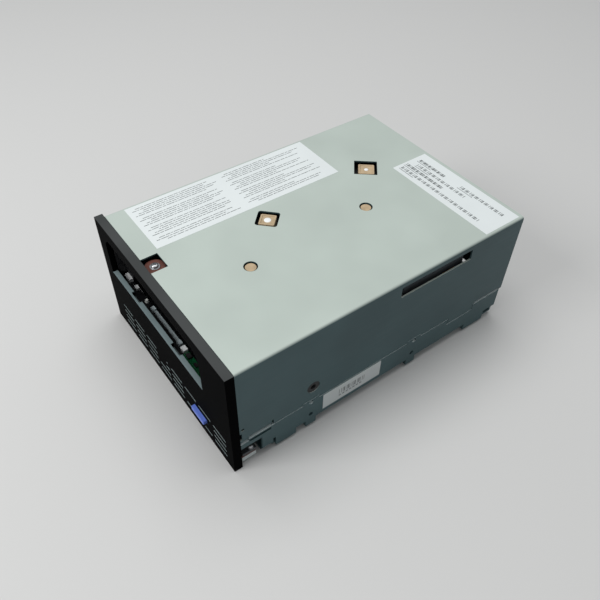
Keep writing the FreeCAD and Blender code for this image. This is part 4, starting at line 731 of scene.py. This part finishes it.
class DRIVE_OT_screws(bpy.types.Operator):
    """Makes the pan-head screws with their cross recesses, washers and shanks, and the domed studs"""
    bl_idname = "drive.screws"
    bl_label = "Screws"

    def execute(self, context):
        for node, axis in (("mount_screws", Z), ("cover_screws", Y)):
            surfaces = [surface for points in islands(node) for surface in screw(points, axis)]
            keep(smooth_piece(node + "_dressed", *surfaces), node)
        studs = [stud(points) for points in islands("pad_screws")]
        keep(smooth_piece("pad_screws_dressed", *studs), "pad_screws")
        return {"FINISHED"}


class DRIVE_OT_labels(bpy.types.Operator):
    """Lays the label films and prints them with plain lines and bars that say nothing"""
    bl_idname = "drive.labels"
    bl_label = "Labels"

    def execute(self, context):
        prints = {"top_label": text_lines, "rear_label": bar_strips, "side_label": side_strip}
        for node, printing in prints.items():
            face = Face(node)
            film = [(0, face.length, 0, face.height)]
            keep(boxes(node + "_film", face, film, 0, face.depth - INK), node)
            bars = boxes(node + "_bars", face, printing(face), face.depth - INK, INK)
            bars.data.materials.append(FINISHES["label_bars"])
            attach(bars, "chassis")
        return {"FINISHED"}


class DRIVE_OT_inside(bpy.types.Operator):
    """Gives every piece that nothing stands for yet its finish and a small rounding of its edges"""
    bl_idname = "drive.inside"
    bl_label = "Inner pieces"

    def execute(self, context):
        width = settings()[1].small_edge
        for node, item in frame["nodes"].items():
            if not item.hide_render and node not in SHELL:
                soften(node, width)
        return {"FINISHED"}


# The camera, solved from corners and holes of the drive in the photo
CAMERA_PLACE = Vector((0.237046, -0.172041, 0.325272))
CAMERA_RIGHT = Vector((0.58790392, 0.80881637, 0.01360402))
CAMERA_AHEAD = Vector((-0.55385289, 0.41472218, -0.72197817))
SENSOR = 36.0

FLOOR_HALF = 3.0
SKY_COLOUR = (0.80, 0.82, 0.84, 1)
LIGHTS_AIM = Vector((0, 0.02, 0.04))


class DRIVE_OT_stage(bpy.types.Operator):
    """Makes the floor, the soft lights, the world and the camera"""
    bl_idname = "drive.stage"
    bl_label = "Studio"

    def execute(self, context):
        studio = settings()[2]
        self.floor(studio.floor)
        self.sky(studio.sky)
        self.soft_box("top_softbox", Vector((-0.20, 0.10, 1.40)), 1.2, studio.key_power)
        self.soft_box("front_softbox", Vector((-0.15, -0.95, 0.80)), 0.5, studio.fill_power)
        self.camera(studio.lens)
        context.scene.view_settings.view_transform = "Standard"
        return {"FINISHED"}

    def floor(self, tone):
        level = CAD_BOX[0][Z]
        corners = np.array([(-1, -1, 0), (1, -1, 0), (1, 1, 0), (-1, 1, 0)]) * FLOOR_HALF + (0, 0, level)
        ground = new_piece("studio_floor", (corners, [[0, 1, 2, 3]]))
        finish, tree, shader = nodes_of("studio_floor")
        shader.inputs["Roughness"].default_value = 0.9
        shader.inputs["Base Color"].default_value = (*tone, 1)
        ground.data.materials.append(finish)

    def sky(self, strength):
        world = bpy.data.worlds.new("studio_world")
        world.use_nodes = True
        background = world.node_tree.nodes["Background"]
        background.inputs["Color"].default_value = SKY_COLOUR
        background.inputs["Strength"].default_value = strength
        bpy.context.scene.world = world

    def soft_box(self, name, place, size, energy):
        lamp = bpy.data.lights.new(name, "AREA")
        lamp.size = size
        lamp.energy = energy
        item = linked(name, lamp)
        item.location = place
        item.rotation_euler = (LIGHTS_AIM - place).to_track_quat("-Z", "Y").to_euler()

    def camera(self, lens):
        eye = bpy.data.cameras.new("photo_camera")
        eye.lens = lens
        eye.sensor_width = SENSOR
        eye.clip_start = 0.01
        item = linked("photo_camera", eye)
        turn = Matrix((CAMERA_RIGHT, CAMERA_RIGHT.cross(CAMERA_AHEAD), -CAMERA_AHEAD)).transposed()
        item.matrix_world = Matrix.Translation(CAMERA_PLACE) @ turn.to_4x4()
        bpy.context.scene.camera = item


class DRIVE_PT_panel(bpy.types.Panel):
    """Lists the steps that dress the drive, a button for each"""
    bl_idname = "DRIVE_PT_panel"
    bl_label = "Tape drive"
    bl_space_type = "VIEW_3D"
    bl_region_type = "UI"
    bl_category = "Tape drive"

    def draw(self, context):
        for step in STEPS:
            self.layout.operator(step.bl_idname)


STEPS = (DRIVE_OT_shell, DRIVE_OT_bezel, DRIVE_OT_button, DRIVE_OT_screws, DRIVE_OT_labels, DRIVE_OT_inside,
         DRIVE_OT_stage)
GROUPS = {"tape_drive_finishes": TapeDriveFinishes, "tape_drive_details": TapeDriveDetails,
          "tape_drive_studio": TapeDriveStudio}


def register():
    for name, group in GROUPS.items():
        bpy.utils.register_class(group)
        setattr(bpy.types.Scene, name, PointerProperty(type=group))
    for item in (*STEPS, DRIVE_PT_panel):
        bpy.utils.register_class(item)


def unregister():
    for item in (*STEPS, DRIVE_PT_panel):
        bpy.utils.unregister_class(item)
    for name, group in GROUPS.items():
        delattr(bpy.types.Scene, name)
        bpy.utils.unregister_class(group)


def run_step(step):
    family, name = step.bl_idname.split(".")
    result = getattr(getattr(bpy.ops, family), name)()
    if "FINISHED" not in result:
        raise RuntimeError(f"{step.bl_label} did not finish")


def main():
    register()
    FINISHES.update(make_finishes())
    for step in STEPS:
        run_step(step)


if __name__ == "__main__":
    main()
